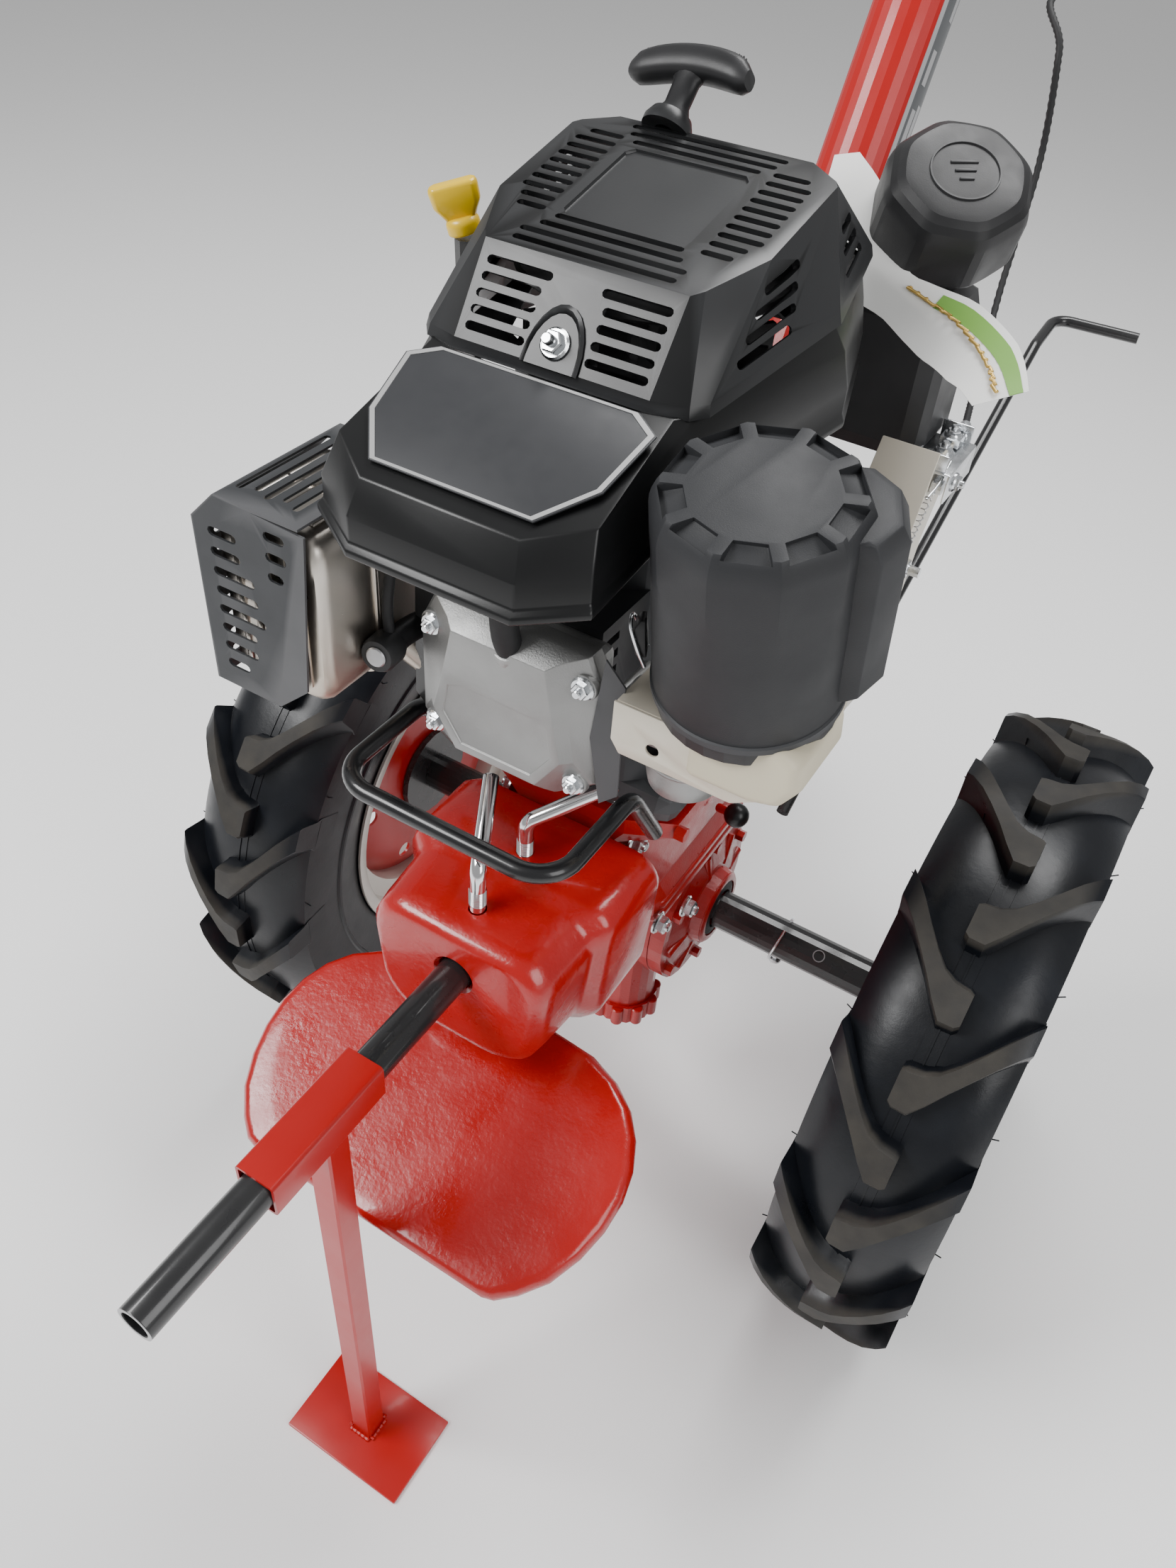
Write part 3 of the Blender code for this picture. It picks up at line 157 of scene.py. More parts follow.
def make_looks():
    """Every material, by name."""
    looks = {}
    looks["red"] = (Look("red_paint", (0.42, 0.0015, 0.001), 0.34, 0.0, 0.12)
                    .vary_roughness(22, 0.28, 0.38).bump(420, 0.05, 0.0004)
                    .edges((0.48, 0.006, 0.004), 0.4))
    looks["red_cast"] = (Look("red_cast", (0.4, 0.0015, 0.001), 0.25, 0.0, 0.4)
                         .vary_roughness(30, 0.18, 0.36).bump(70, 0.25, 0.0016, 2.0)
                         .bump(310, 0.35, 0.0007, 4.0).edges((0.48, 0.006, 0.004), 0.4))
    looks["red_rough"] = (Look("red_casting", (0.38, 0.0015, 0.001), 0.33, 0.0, 0.25)
                          .vary_roughness(60, 0.26, 0.42).bump(520, 0.5, 0.0006, 5.0)
                          .edges((0.46, 0.008, 0.005), 0.4))
    looks["black_metal"] = (Look("black_enamel", (0.01, 0.01, 0.011), 0.28, 0.0, 0.4)
                            .vary_roughness(35, 0.22, 0.36).bump(380, 0.08, 0.0004)
                            .edges((0.06, 0.06, 0.06), 0.5))
    looks["housing"] = (Look("satin_black_steel", (0.005, 0.0052, 0.0056), 0.3, 0.0, 0.1, 0.2)
                        .vary_roughness(16, 0.3, 0.38).bump(900, 0.1, 0.0002)
                        .edges((0.035, 0.036, 0.038), 0.5))
    looks["black_plastic"] = (Look("moulded_black", (0.014, 0.014, 0.015), 0.42)
                              .vary_roughness(40, 0.36, 0.5).bump(1300, 0.22, 0.0002)
                              .edges((0.05, 0.05, 0.052), 0.5))
    looks["charcoal"] = (Look("textured_charcoal", (0.02, 0.0208, 0.023), 0.55)
                         .vary_roughness(25, 0.48, 0.6).bump(1500, 0.35, 0.00025, 2.0)
                         .edges((0.075, 0.077, 0.082), 0.5))
    looks["shield"] = (Look("grey_sheet", (0.036, 0.038, 0.041), 0.46, 0.2)
                       .vary_roughness(30, 0.38, 0.54).bump(700, 0.18, 0.0002)
                       .edges((0.12, 0.12, 0.125), 0.6))
    looks["stainless"] = (Look("warm_stainless", (0.6, 0.56, 0.51), 0.32, 1.0)
                          .vary_roughness(18, 0.25, 0.42).bump(240, 0.1, 0.0003, 4.0, (1, 1, 12)))
    looks["stainless"].mix_colour(looks["stainless"].ramp(looks["stainless"].noise(9, 3), 0.45,
        0.75, 0, 0.5), (0.5, 0.4, 0.28))
    looks["cast_alu"] = (Look("cast_aluminium", (0.33, 0.33, 0.325), 0.44, 0.75)
                         .vary_roughness(40, 0.36, 0.52).bump(850, 0.45, 0.0004, 5.0)
                         .edges((0.6, 0.6, 0.59), 0.5))
    looks["zinc"] = (Look("bright_zinc", (0.76, 0.78, 0.8), 0.2, 1.0)
                     .vary_roughness(120, 0.14, 0.3).bump(600, 0.08, 0.0002))
    looks["chrome"] = (Look("bright_chrome", (0.82, 0.82, 0.83), 0.09, 1.0)
                       .vary_roughness(80, 0.06, 0.16).bump(300, 0.04, 0.0002))
    looks["steel"] = (Look("bare_steel", (0.44, 0.44, 0.45), 0.34, 1.0)
                      .vary_roughness(90, 0.26, 0.46).bump(500, 0.12, 0.0002, 3.0, (1, 1, 6)))
    looks["cream"] = (Look("cream_plate", (0.7, 0.64, 0.53), 0.36, 0.15, 0.2)
                      .vary_roughness(30, 0.3, 0.46).bump(500, 0.1, 0.0003)
                      .edges((0.8, 0.76, 0.66), 0.3))
    looks["beige"] = (Look("beige_moulding", (0.62, 0.56, 0.42), 0.5)
                      .vary_roughness(30, 0.42, 0.56).bump(900, 0.2, 0.0002))
    looks["bronze"] = Look("bronze", (0.62, 0.38, 0.15), 0.32, 1.0).vary_roughness(60, 0.25, 0.42)
    looks["paper"] = Look("filter_paper", (0.72, 0.62, 0.38), 0.85).bump(500, 0.3, 0.0004)
    looks["card"] = Look("card", (0.8, 0.8, 0.78), 0.55).bump(300, 0.08, 0.0003)
    looks["green"] = Look("green_band", (0.16, 0.36, 0.05), 0.5).bump(300, 0.08, 0.0003)
    looks["gold"] = Look("gold_string", (0.62, 0.42, 0.12), 0.35, 0.7).bump(1500, 0.4, 0.0004)
    looks["yellow"] = (Look("yellow_moulding", (0.8, 0.52, 0.002), 0.36, 0.0, 0.2)
                       .vary_roughness(50, 0.3, 0.42).bump(700, 0.08, 0.0002))
    looks["silver"] = Look("silver_border", (0.55, 0.55, 0.55), 0.38, 0.6).bump(900, 0.1, 0.0001)
    looks["badge"] = (Look("badge_face", (0.03, 0.031, 0.034), 0.48)
                      .vary_roughness(60, 0.42, 0.54).bump(1600, 0.2, 0.0001))
    looks["decal_grey"] = Look("grey_stripe", (0.1, 0.105, 0.11), 0.35, 0.0, 0.3).bump(600, 0.04, 0.0002)
    looks["decal_silver"] = Look("silver_stripe", (0.48, 0.48, 0.49), 0.35, 0.4, 0.3).bump(600, 0.04, 0.0002)
    looks["grip"] = (Look("grip_rubber", (0.018, 0.018, 0.019), 0.62)
                     .vary_roughness(60, 0.55, 0.7).bump(1100, 0.3, 0.0003))
    looks["silver_paint"] = (Look("silver_rim_paint", (0.62, 0.6, 0.55), 0.34, 0.5, 0.3)
                             .vary_roughness(40, 0.28, 0.42).bump(500, 0.1, 0.0003))
    looks["rubber"] = rubber_look()
    return {name: look.material for name, look in looks.items()}


def rubber_look():
    """Black rubber: glossy in the grooves, matt and brownish on the faces of the lugs."""
    look = Look("tread_rubber", (0.005, 0.006, 0.0085), 0.34)
    apart = look.node("ShaderNodeSeparateXYZ")
    look.link(look.place, apart.inputs[0])
    drop = look.node("ShaderNodeMath", operation="SUBTRACT")
    look.link(apart.outputs["Z"], drop.inputs[0])
    drop.inputs[1].default_value = WHEEL_R
    ahead = look.node("ShaderNodeMath", operation="SUBTRACT")
    look.link(apart.outputs["Y"], ahead.inputs[0])
    ahead.inputs[1].default_value = AXLE.y
    flat = look.node("ShaderNodeCombineXYZ")
    look.link(ahead.outputs[0], flat.inputs["Y"])
    look.link(drop.outputs[0], flat.inputs["Z"])
    far = look.node("ShaderNodeVectorMath", operation="LENGTH")
    look.link(flat.outputs[0], far.inputs[0])
    top = look.ramp(far.outputs["Value"], WHEEL_R - 0.0105, WHEEL_R - 0.0045, 0.0, 1.0)
    spread = look.node("ShaderNodeMath", operation="MULTIPLY")
    look.link(top, spread.inputs[0])
    look.link(look.ramp(look.noise(45, 5), 0.25, 0.7, 0.45, 1.0), spread.inputs[1])
    look.mix_colour(spread.outputs[0], (0.04, 0.036, 0.03))
    look.mix_colour(look.ramp(look.noise(14, 4), 0.5, 0.8, 0.0, 0.35), (0.02, 0.024, 0.032))
    rough = look.node("ShaderNodeMath", operation="ADD")
    look.link(look.ramp(look.noise(25, 4), 0.3, 0.7, 0.26, 0.4), rough.inputs[0])
    look.link(look.ramp(top, 0.0, 1.0, 0.0, 0.3), rough.inputs[1])
    look.link(rough.outputs[0], look.shader.inputs["Roughness"])
    look.bump(160, 0.12, 0.0008, 3.0).bump(900, 0.15, 0.0003, 4.0)
    return look


LOOKS = make_looks()


# ---------------------------------------------------------------- piece helpers
def round_edges(item, width, segments, angle):
    """Bevel an object's edges that are sharper than an angle in degrees."""
    rounded = item.modifiers.new("edges", "BEVEL")
    rounded.width = width
    rounded.segments = segments
    rounded.limit_method = "ANGLE"
    rounded.angle_limit = math.radians(angle)


def place(item, look, body, replaces=(), angle=35, edge=0.0, segments=2):
    """Dress a piece, round its edges, and let it ride on a CAD body."""
    item.data.transform(Matrix.Translation(SHIFT))
    item.data.materials.clear()
    item.data.materials.append(LOOKS[look])
    if edge > 0:
        round_edges(item, edge, segments, 28)
        bake(item)
    item.data.shade_smooth()
    item.data.set_sharp_from_angle(angle=math.radians(angle))
    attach(item, body)
    if replaces:
        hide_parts(*replaces)
    return item


def bake(item):
    """Apply an object's modifiers to its mesh."""
    graph = bpy.context.evaluated_depsgraph_get()
    graph.update()
    mesh = bpy.data.meshes.new_from_object(item.evaluated_get(graph))
    item.modifiers.clear()
    item.data = mesh
    return item


def new_object(name, shape):
    """A mesh object from a bmesh."""
    bmesh.ops.recalc_face_normals(shape, faces=shape.faces)
    mesh = bpy.data.meshes.new(name)
    shape.to_mesh(mesh)
    shape.free()
    item = bpy.data.objects.new(name, mesh)
    bpy.context.scene.collection.objects.link(item)
    return item


def weave(shape, rows, closed=True):
    """Quads between neighbouring rows of equal counts."""
    for low, high in zip(rows, rows[1:]):
        count = len(low)
        for k in range(count if closed else count - 1):
            after = (k + 1) % count
            shape.faces.new((low[k], low[after], high[after], high[k]))


def skin(name, rings, loop=False):
    """A skin over rings of equal counts, capped at its ends or joined into a loop."""
    shape = bmesh.new()
    rows = [[shape.verts.new(point) for point in ring] for ring in rings]
    weave(shape, [*rows, rows[0]] if loop else rows)
    if not loop:
        shape.faces.new(list(reversed(rows[0])))
        shape.faces.new(rows[-1])
    return new_object(name, shape)


def turned(name, profile, centre, axis, steps=48, loop=True):
    """A turned shape: (radius, height) points about an axis through a centre."""
    turn = Vector(axis).normalized().to_track_quat("Z", "Y").to_matrix()
    shape = bmesh.new()
    rows = []
    for step in range(steps):
        c, s = math.cos(2 * math.pi * step / steps), math.sin(2 * math.pi * step / steps)
        rows.append([shape.verts.new(Vector(centre) + turn @ Vector((r * c, r * s, h)))
                     for r, h in profile])
    weave(shape, [*rows, rows[0]], loop)
    bmesh.ops.remove_doubles(shape, verts=shape.verts, dist=0.000001)
    bmesh.ops.dissolve_degenerate(shape, dist=0.0000001, edges=shape.edges)
    return new_object(name, shape)


def slab(name, outline, thickness, turn=Matrix.Identity(3), centre=(0, 0, 0)):
    """A flat outline given a thickness about its own plane."""
    centre = Vector(centre)
    half = thickness / 2
    rings = [[centre + turn @ Vector((x, y, z)) for x, y in outline] for z in (-half, half)]
    return skin(name, rings)


def block(name, centre, size, turn=Matrix.Identity(3)):
    """A box with its size in the mesh."""
    x, y, z = (value / 2 for value in size)
    return slab(name, [(-x, -y), (x, -y), (x, y), (-x, y)], 2 * z, turn, centre)


def smooth_points(points, steps=6):
    """Points on a smooth curve through the given ones."""
    path = [Vector(point) for point in points]
    ends = [2 * path[0] - path[1], *path, 2 * path[-1] - path[-2]]
    route = []
    for k in range(1, len(ends) - 2):
        a, b, c, d = ends[k - 1:k + 3]
        for step in range(steps):
            t = step / steps
            route.append(0.5 * (2 * b + (c - a) * t + (2 * a - 5 * b + 4 * c - d) * t * t
                                + (3 * b - a - 3 * c + d) * t ** 3))
    route.append(path[-1])
    return route


def bent(points, radius, steps=8):
    """Straight runs joined by arcs of one bend radius."""
    path = [Vector(point) for point in points]
    route = [path[0]]
    for before, corner, after in zip(path, path[1:], path[2:]):
        back = (before - corner).normalized()
        ahead = (after - corner).normalized()
        half = back.angle(ahead) / 2
        start = corner + back * (radius / math.tan(half))
        centre = corner + (back + ahead).normalized() * (radius / math.sin(half))
        axis = ahead.cross(back).normalized()
        for step in range(steps + 1):
            turn = Matrix.Rotation((math.pi - 2 * half) * step / steps, 3, axis)
            route.append(centre + turn @ (start - centre))
    route.append(path[-1])
    return route


def pipe(name, points, radius, sides=16, radii=None):
    """A round tube along points, with its own radius at each point if given, as a closed mesh."""
    path = [Vector(point) for point in points]
    rings = []
    side = None
    for k, point in enumerate(path):
        ahead = (path[min(k + 1, len(path) - 1)] - path[max(k - 1, 0)]).normalized()
        if side is None:
            side = ahead.orthogonal().normalized()
        side = (side - ahead * side.dot(ahead)).normalized()
        up = ahead.cross(side)
        size = radii[k] if radii else radius
        rings.append([point + (side * math.cos(a) + up * math.sin(a)) * size
                      for a in (2 * math.pi * j / sides for j in range(sides))])
    return skin(name, rings)


def merge(name, items):
    """Put separate meshes in one object."""
    whole = bmesh.new()
    for item in items:
        whole.from_mesh(item.data)
        bpy.data.objects.remove(item, do_unlink=True)
    return new_object(name, whole)


def cut(item, cutters, operation="DIFFERENCE"):
    """Cut a piece with one joined cutter, exactly."""
    tool = merge("tool", cutters) if len(cutters) > 1 else cutters[0]
    change = item.modifiers.new("cut", "BOOLEAN")
    change.object = tool
    change.operation = operation
    change.solver = "EXACT"
    bake(item)
    bpy.data.objects.remove(tool, do_unlink=True)
    return item


def hex_head(centre, direction, across, height, washer=0.0, dome=True):
    """A hexagon bolt head with a chamfered top and, if asked, a round flange."""
    direction = Vector(direction).normalized()
    turn = direction.to_track_quat("Z", "Y").to_matrix()
    rings = []
    for radius, lift in ((across * 0.577, 0.0), (across * 0.577, height * 0.86), (across * 0.5, height)):
        rings.append([Vector(centre) + turn @ Vector((radius * math.cos(a), radius * math.sin(a), lift))
                      for a in (math.pi / 3 * k for k in range(6))])
    pieces = [skin("head", rings)]
    if washer:
        pieces.append(turned("washer", [(0.0, -0.0006), (washer, -0.0006), (washer, 0.001),
                                        (washer * 0.86, 0.0022), (0.0, 0.0022)], centre, direction, 28))
    if dome:
        pieces.append(turned("end", [(0.0, height - 0.001), (across * 0.3, height - 0.001),
                                     (across * 0.3, height + 0.0022), (across * 0.22, height + 0.003),
                                     (0.0, height + 0.003)], centre, direction, 20))
    return pieces


# ---------------------------------------------------------------- camera, light and floor
def camera():
    """The camera, looking down at the machine's front left."""
    data = bpy.data.cameras.new("camera")
    data.lens = 28.09
    data.sensor_width = 36
    data.sensor_fit = "AUTO"
    data.clip_start = 0.01
    item = bpy.data.objects.new("camera", data)
    bpy.context.scene.collection.objects.link(item)
    right = Vector((0.8499, 0.5228, 0.0656))
    up = Vector((-0.3963, 0.5521, 0.7336))
    back = Vector((0.3472, -0.6495, 0.6764))
    matrix = Matrix((right, up, back)).transposed().to_4x4()
    matrix.translation = Vector((0.3216, -0.7769, 1.18)) + SHIFT
    item.matrix_world = matrix
    bpy.context.scene.camera = item


def lamp(name, location, target, size, power, colour=(1, 1, 1)):
    """A soft square lamp aimed at a point."""
    data = bpy.data.lights.new(name, "AREA")
    data.shape = "RECTANGLE"
    data.size, data.size_y = size
    data.energy = power
    data.color = colour
    item = bpy.data.objects.new(name, data)
    bpy.context.scene.collection.objects.link(item)
    item.location = location
    aim = Vector(target) - Vector(location)
    item.rotation_mode = "QUATERNION"
    item.rotation_quaternion = aim.to_track_quat("-Z", "Y")


def studio():
    """A white floor and soft light, brightest from above and the left."""
    world = bpy.data.worlds.new("studio")
    world.use_nodes = True
    ground = world.node_tree.nodes["Background"]
    ground.inputs["Color"].default_value = (1.0, 1.0, 1.0, 1.0)
    ground.inputs["Strength"].default_value = 0.42
    bpy.context.scene.world = world
    lamp("key", (-1.6, -1.9, 2.6), (0, -0.1, 0.6), (1.6, 1.0), 95)
    lamp("fill", (2.4, -1.2, 1.9), (0, -0.1, 0.5), (1.2, 1.8), 34)
    lamp("top", (0.2, 0.9, 2.9), (0, -0.1, 0.6), (1.8, 0.8), 62)
    shape = bmesh.new()
    bmesh.ops.create_grid(shape, x_segments=1, y_segments=1, size=12)
    floor = new_object("floor", shape)
    look = bpy.data.materials.new("floor")
    look.use_nodes = True
    shader = look.node_tree.nodes["Principled BSDF"]
    shader.inputs["Base Color"].default_value = (0.98, 0.98, 0.98, 1)
    shader.inputs["Roughness"].default_value = 0.9
    floor.data.materials.append(look)


# ---------------------------------------------------------------- wheels
TYRE_HALF = 0.063          # half the width of the tread
CARCASS_R = WHEEL_R - 0.018  # the carcass under the bars
LUGS = 14                  # tread bars on each side


def on_tyre(x, across, radius, angle):
    """A point of a tyre from its distance across the middle, its radius and its angle."""
    return Vector((x + across, radius * math.sin(angle), WHEEL_R + radius * math.cos(angle)))


def carcass_radius(across):
    """The carcass's outer radius at a distance across its middle."""
    share = abs(across) / TYRE_HALF
    return CARCASS_R - 0.02 * share ** 3.2


def lug(x, side, start):
    """One tread bar: a foot on the middle line, then a curved bar that widens to the shoulder."""
    stations = ((-0.0115, -0.012, 0.0125, 0.0), (-0.008, -0.014, 0.015, 0.0), (0.0035, -0.012, 0.016, 0.0),
                (0.013, 0.018, 0.0125, 0.0003), (0.023, 0.062, 0.0105, 0.001),
                (0.034, 0.112, 0.0102, 0.0022), (0.046, 0.168, 0.0108, 0.0045),
                (0.056, 0.212, 0.0116, 0.0085), (0.0625, 0.238, 0.0122, 0.013))
    rings = []
    for across, sweep, half, drop in stations:
        top = WHEEL_R - drop - 0.0004
        foot = carcass_radius(across) - 0.004
        ring = []
        for radius, spread in ((foot, 1.5), (foot + 0.006, 1.22), (top - 0.0022, 1.02), (top, 0.9),
                               (top, -0.9), (top - 0.0022, -1.02), (foot + 0.006, -1.22), (foot, -1.5)):
            angle = start + sweep + spread * half / WHEEL_R
            ring.append(on_tyre(x, side * across, radius, angle))
        rings.append(ring)
    last = []
    for point, (radius, spread) in zip(rings[-1], ((0.226, 1.3), (0.232, 1.1), (0.24, 0.9),
            (0.246, 0.8), (0.246, -0.8), (0.24, -0.9), (0.232, -1.1), (0.226, -1.3))):
        last.append(on_tyre(x, side * 0.0622, radius, start + 0.262 + spread * 0.0115 / WHEEL_R))
    rings.append(last)
    return skin("lug", rings)


def tyre(word, x):
    """A tractor tyre: shaped carcass, moulding seam, staggered bars and moulding hairs."""
    bead = 0.1545
    profile = []
    for k in range(-12, 13):
        across = 0.0585 * k / 12
        profile.append((carcass_radius(across), across))
    outer = [(0.2535, 0.0618), (0.243, 0.0622), (0.222, 0.0618), (0.206, 0.0606), (0.2045, 0.0622),
             (0.202, 0.0622), (0.2005, 0.0603), (0.186, 0.0575), (0.172, 0.052), (bead + 0.004, 0.047),
             (bead, 0.045)]
    left = [(r, -h) for r, h in outer]
    inner = [(bead, 0.032), (0.175, 0.04), (0.205, 0.052), (0.24, 0.052), (0.256, 0.03), (0.2585, 0.0),
             (0.256, -0.03), (0.24, -0.052), (0.205, -0.052), (0.175, -0.04), (bead, -0.032)]
    whole = [*profile, *outer, *inner, *list(reversed(left))]
    pieces = [turned("carcass", whole, (x, 0, WHEEL_R), (1, 0, 0), 120)]
    seam = CARCASS_R + 0.0006
    pieces.append(turned("seam", [(seam, 0.0075), (seam, -0.0075), (seam - 0.004, -0.0085),
                                  (seam - 0.004, 0.0085)], (x, 0, WHEEL_R), (1, 0, 0), 120))
    pieces.append(turned("line", [(seam + 0.0008, 0.0006), (seam + 0.0008, -0.0006), (seam - 0.002, -0.0006),
                                  (seam - 0.002, 0.0006)], (x, 0, WHEEL_R), (1, 0, 0), 120))
    pitch = 2 * math.pi / LUGS
    for k in range(LUGS):
        pieces.append(lug(x, -1, math.radians(13) + k * pitch))
        pieces.append(lug(x, 1, math.radians(-0.5) + k * pitch))
        for side in (-1, 1):
            angle = 0.37 * side + k * pitch
            root = on_tyre(x, side * 0.06, 0.2475, angle)
            tip = on_tyre(x, side * 0.0665, 0.2505, angle + 0.012)
            pieces.append(pipe("hair", [root, tip], 0.00055, 5))
            angle += 0.5 * pitch
            root = on_tyre(x, side * 0.036, carcass_radius(0.036) - 0.001, angle)
            tip = on_tyre(x, side * 0.037, carcass_radius(0.036) + 0.006, angle + 0.006)
            pieces.append(pipe("hair", [root, tip], 0.0005, 5))
    place(merge("tread_" + word, pieces), "rubber", "axle_set", ["tyre_" + word], 32)


def wheel(word, x, side):
    """A pressed rim with rolled lips, its dished disc with stamped pads, a hole and bolts."""
    lip = 0.164
    ring = [(lip, 0.0532), (lip, 0.0506), (0.1555, 0.0492), (0.153, 0.0468), (0.153, 0.03),
            (0.15, 0.0235), (0.132, 0.019), (0.1305, 0.016), (0.1305, -0.016), (0.132, -0.019),
            (0.15, -0.0235), (0.153, -0.03), (0.153, -0.0468), (0.1555, -0.0492), (lip, -0.0506),
            (lip, -0.0532), (0.1535, -0.0518), (0.15, -0.048), (0.15, -0.031), (0.147, -0.026),
            (0.129, -0.021), (0.1275, -0.0165), (0.1275, 0.0165), (0.129, 0.021), (0.147, 0.026),
            (0.15, 0.031), (0.15, 0.048), (0.1535, 0.0518)]
    rim = turned("rim_" + word, ring, (x, 0, WHEEL_R), (1, 0, 0), 96)
    place(rim, "silver_paint", "axle_set", [], 40)
    disc = [(0.1276, 0.0022), (0.1276, -0.0008), (0.118, -0.006), (0.108, -0.0125), (0.09, -0.0142),
            (0.078, -0.012), (0.056, -0.012), (0.05, -0.0142), (0.0262, -0.0142), (0.0262, -0.0112),
            (0.049, -0.0112), (0.055, -0.009), (0.079, -0.009), (0.091, -0.0112), (0.107, -0.0095),
            (0.117, -0.003)]
    disc = [(r, side * h) for r, h in disc]
    plate = turned("plate", disc, (x, 0, WHEEL_R), (1, 0, 0), 96)
    holes = []
    for k in range(6):
        angle = math.radians(30 + 60 * k)
        centre = on_tyre(x, 0, 0.098, angle)
        holes.append(pipe("hole", [centre - Vector((0.05, 0, 0)), centre + Vector((0.05, 0, 0))],
            0.0085, 24))
    cut(plate, holes)
    pieces = [plate]
    for k in range(4):
        angle = math.radians(45 + 90 * k)
        centre = on_tyre(x, -side * 0.0092, 0.036, angle)
        pieces += hex_head(centre + Vector((side * 0.0004, 0, 0)), (side, 0, 0), 0.013, 0.008, 0.0095)
    place(merge("disc_" + word, pieces), "red", "axle_set", ["wheel_rim_" + word], 35)


# ---------------------------------------------------------------- the blower's cover
def flip(points):
    """The whole ring from its +X half, front to rear and back."""
    return [*points, *[(-x, y, z) for x, y, z in reversed(points)]]


HOUSING = (
    ((0.05, -0.364, 0.829), (0.083, -0.345, 0.836), (0.082, -0.268, 0.843),
     (0.118, -0.13, 0.863), (0.098, -0.062, 0.869), (0.06, -0.032, 0.873)),
    ((0.0515, -0.367, 0.83), (0.086, -0.3475, 0.837), (0.0845, -0.269, 0.844),
     (0.1205, -0.13, 0.864), (0.1, -0.06, 0.87), (0.061, -0.03, 0.874)),
    ((0.0515, -0.367, 0.834), (0.086, -0.3475, 0.841), (0.0845, -0.269, 0.848),
     (0.1205, -0.13, 0.868), (0.1, -0.06, 0.874), (0.061, -0.03, 0.878)),
    ((0.051, -0.3635, 0.8375), (0.0835, -0.345, 0.844), (0.0835, -0.269, 0.851),
     (0.1185, -0.13, 0.872), (0.0985, -0.061, 0.878), (0.06, -0.031, 0.881)),
    ((0.051, -0.364, 0.852), (0.0835, -0.345, 0.858), (0.0835, -0.269, 0.866),
     (0.1185, -0.13, 0.887), (0.0985, -0.061, 0.892), (0.06, -0.031, 0.894)),
    ((0.048, -0.3555, 0.872), (0.0785, -0.3345, 0.879), (0.082, -0.269, 0.889),
     (0.114, -0.134, 0.908), (0.096, -0.066, 0.914), (0.058, -0.036, 0.916)),
    ((0.056, -0.264, 0.9045), (0.0745, -0.258, 0.9045), (0.0815, -0.248, 0.905),
     (0.1045, -0.139, 0.926), (0.092, -0.074, 0.94), (0.055, -0.049, 0.944)),
)


def inset(points, amount, drop):
    """A ring drawn in towards its middle."""
    centre = sum((Vector(p) for p in points), Vector()) / len(points)
    made = []
    for point in points:
        out = Vector(point) - centre
        out.z = 0
        size = out.length
        made.append(Vector(point) - out.normalized() * min(amount, size * 0.9) + Vector((0, 0, drop)))
    return made


def blower():
    """The lower housing: a faceted shell with a rolled lip and a hollow underside."""
    rings = [[Vector(p) for p in flip(ring)] for ring in HOUSING]
    inner = [inset(ring, 0.0028, -0.0012) for ring in rings[2:]]
    shell = skin("blower_shell", [*rings, *reversed(inner)], loop=True)
    place(shell, "housing", "chassis", ["blower_housing"], 30, 0.0022, 3)
    for side in (-1, 1):
        shoulder = skin("shoulder", [
            [Vector((side * 0.088, -0.235, 0.88)), Vector((side * 0.105, -0.15, 0.897)),
             Vector((side * 0.098, -0.146, 0.921)), Vector((side * 0.083, -0.232, 0.903))],
            [Vector((side * 0.0915, -0.233, 0.878)), Vector((side * 0.1105, -0.152, 0.895)),
             Vector((side * 0.103, -0.148, 0.918)), Vector((side * 0.0865, -0.23, 0.9))]])
        place(shoulder, "housing", "chassis", [], 30, 0.0012, 2)
        shoulder.name = "housing_step_" + ("left" if side > 0 else "right")


def on_plane(corners, u, v):
    """A point on a four-cornered face, from shares along and up it."""
    a, b, c, d = (Vector(p) for p in corners)
    return a.lerp(b, u).lerp(d.lerp(c, u), v)


def slot_cutter(start, end, normal, width, depth):
    """A long cutter with round ends, from start to end on a face."""
    ahead = (end - start).normalized()
    across = normal.cross(ahead).normalized()
    half = width / 2
    outline = []
    for tip, sign in ((end, -1), (start, 1)):
        for k in range(5):
            angle = sign * math.pi / 2 + math.pi * k / 4
            outline.append(tip + sign * ahead * half + ahead * half * math.cos(angle)
                           + across * half * math.sin(angle))
    return skin("slot", [[p + normal * lift for p in outline] for lift in (-depth, depth)])


def face_slot(corners, u0, u1, v, width, depth=0.01):
    """A slot cutter on a four-cornered face, between two shares along it."""
    normal = (corners[1] - corners[0]).cross(corners[3] - corners[0]).normalized()
    return slot_cutter(on_plane(corners, u0, v), on_plane(corners, u1, v), normal, width, depth)


FAN_Y = -0.15             # the fan and crank turn about this upright line
GUARD_WIDTH = 0.165        # the width of the guard's top face
GUARD_LOW = ((0.06, -0.259, 0.9095), (0.08, -0.2535, 0.9095), (0.087, -0.245, 0.9105),
             (0.1085, -0.14, 0.9305), (0.0955, -0.07, 0.9445), (0.059, -0.045, 0.9485))
GUARD_TOP = ((0.061, -0.229, 0.953), (0.066, -0.2225, 0.9546), (0.0825, -0.185, 0.964),
             (0.0832, -0.111, 0.982), (0.08, -0.106, 0.983), (0.061, -0.0945, 0.986))


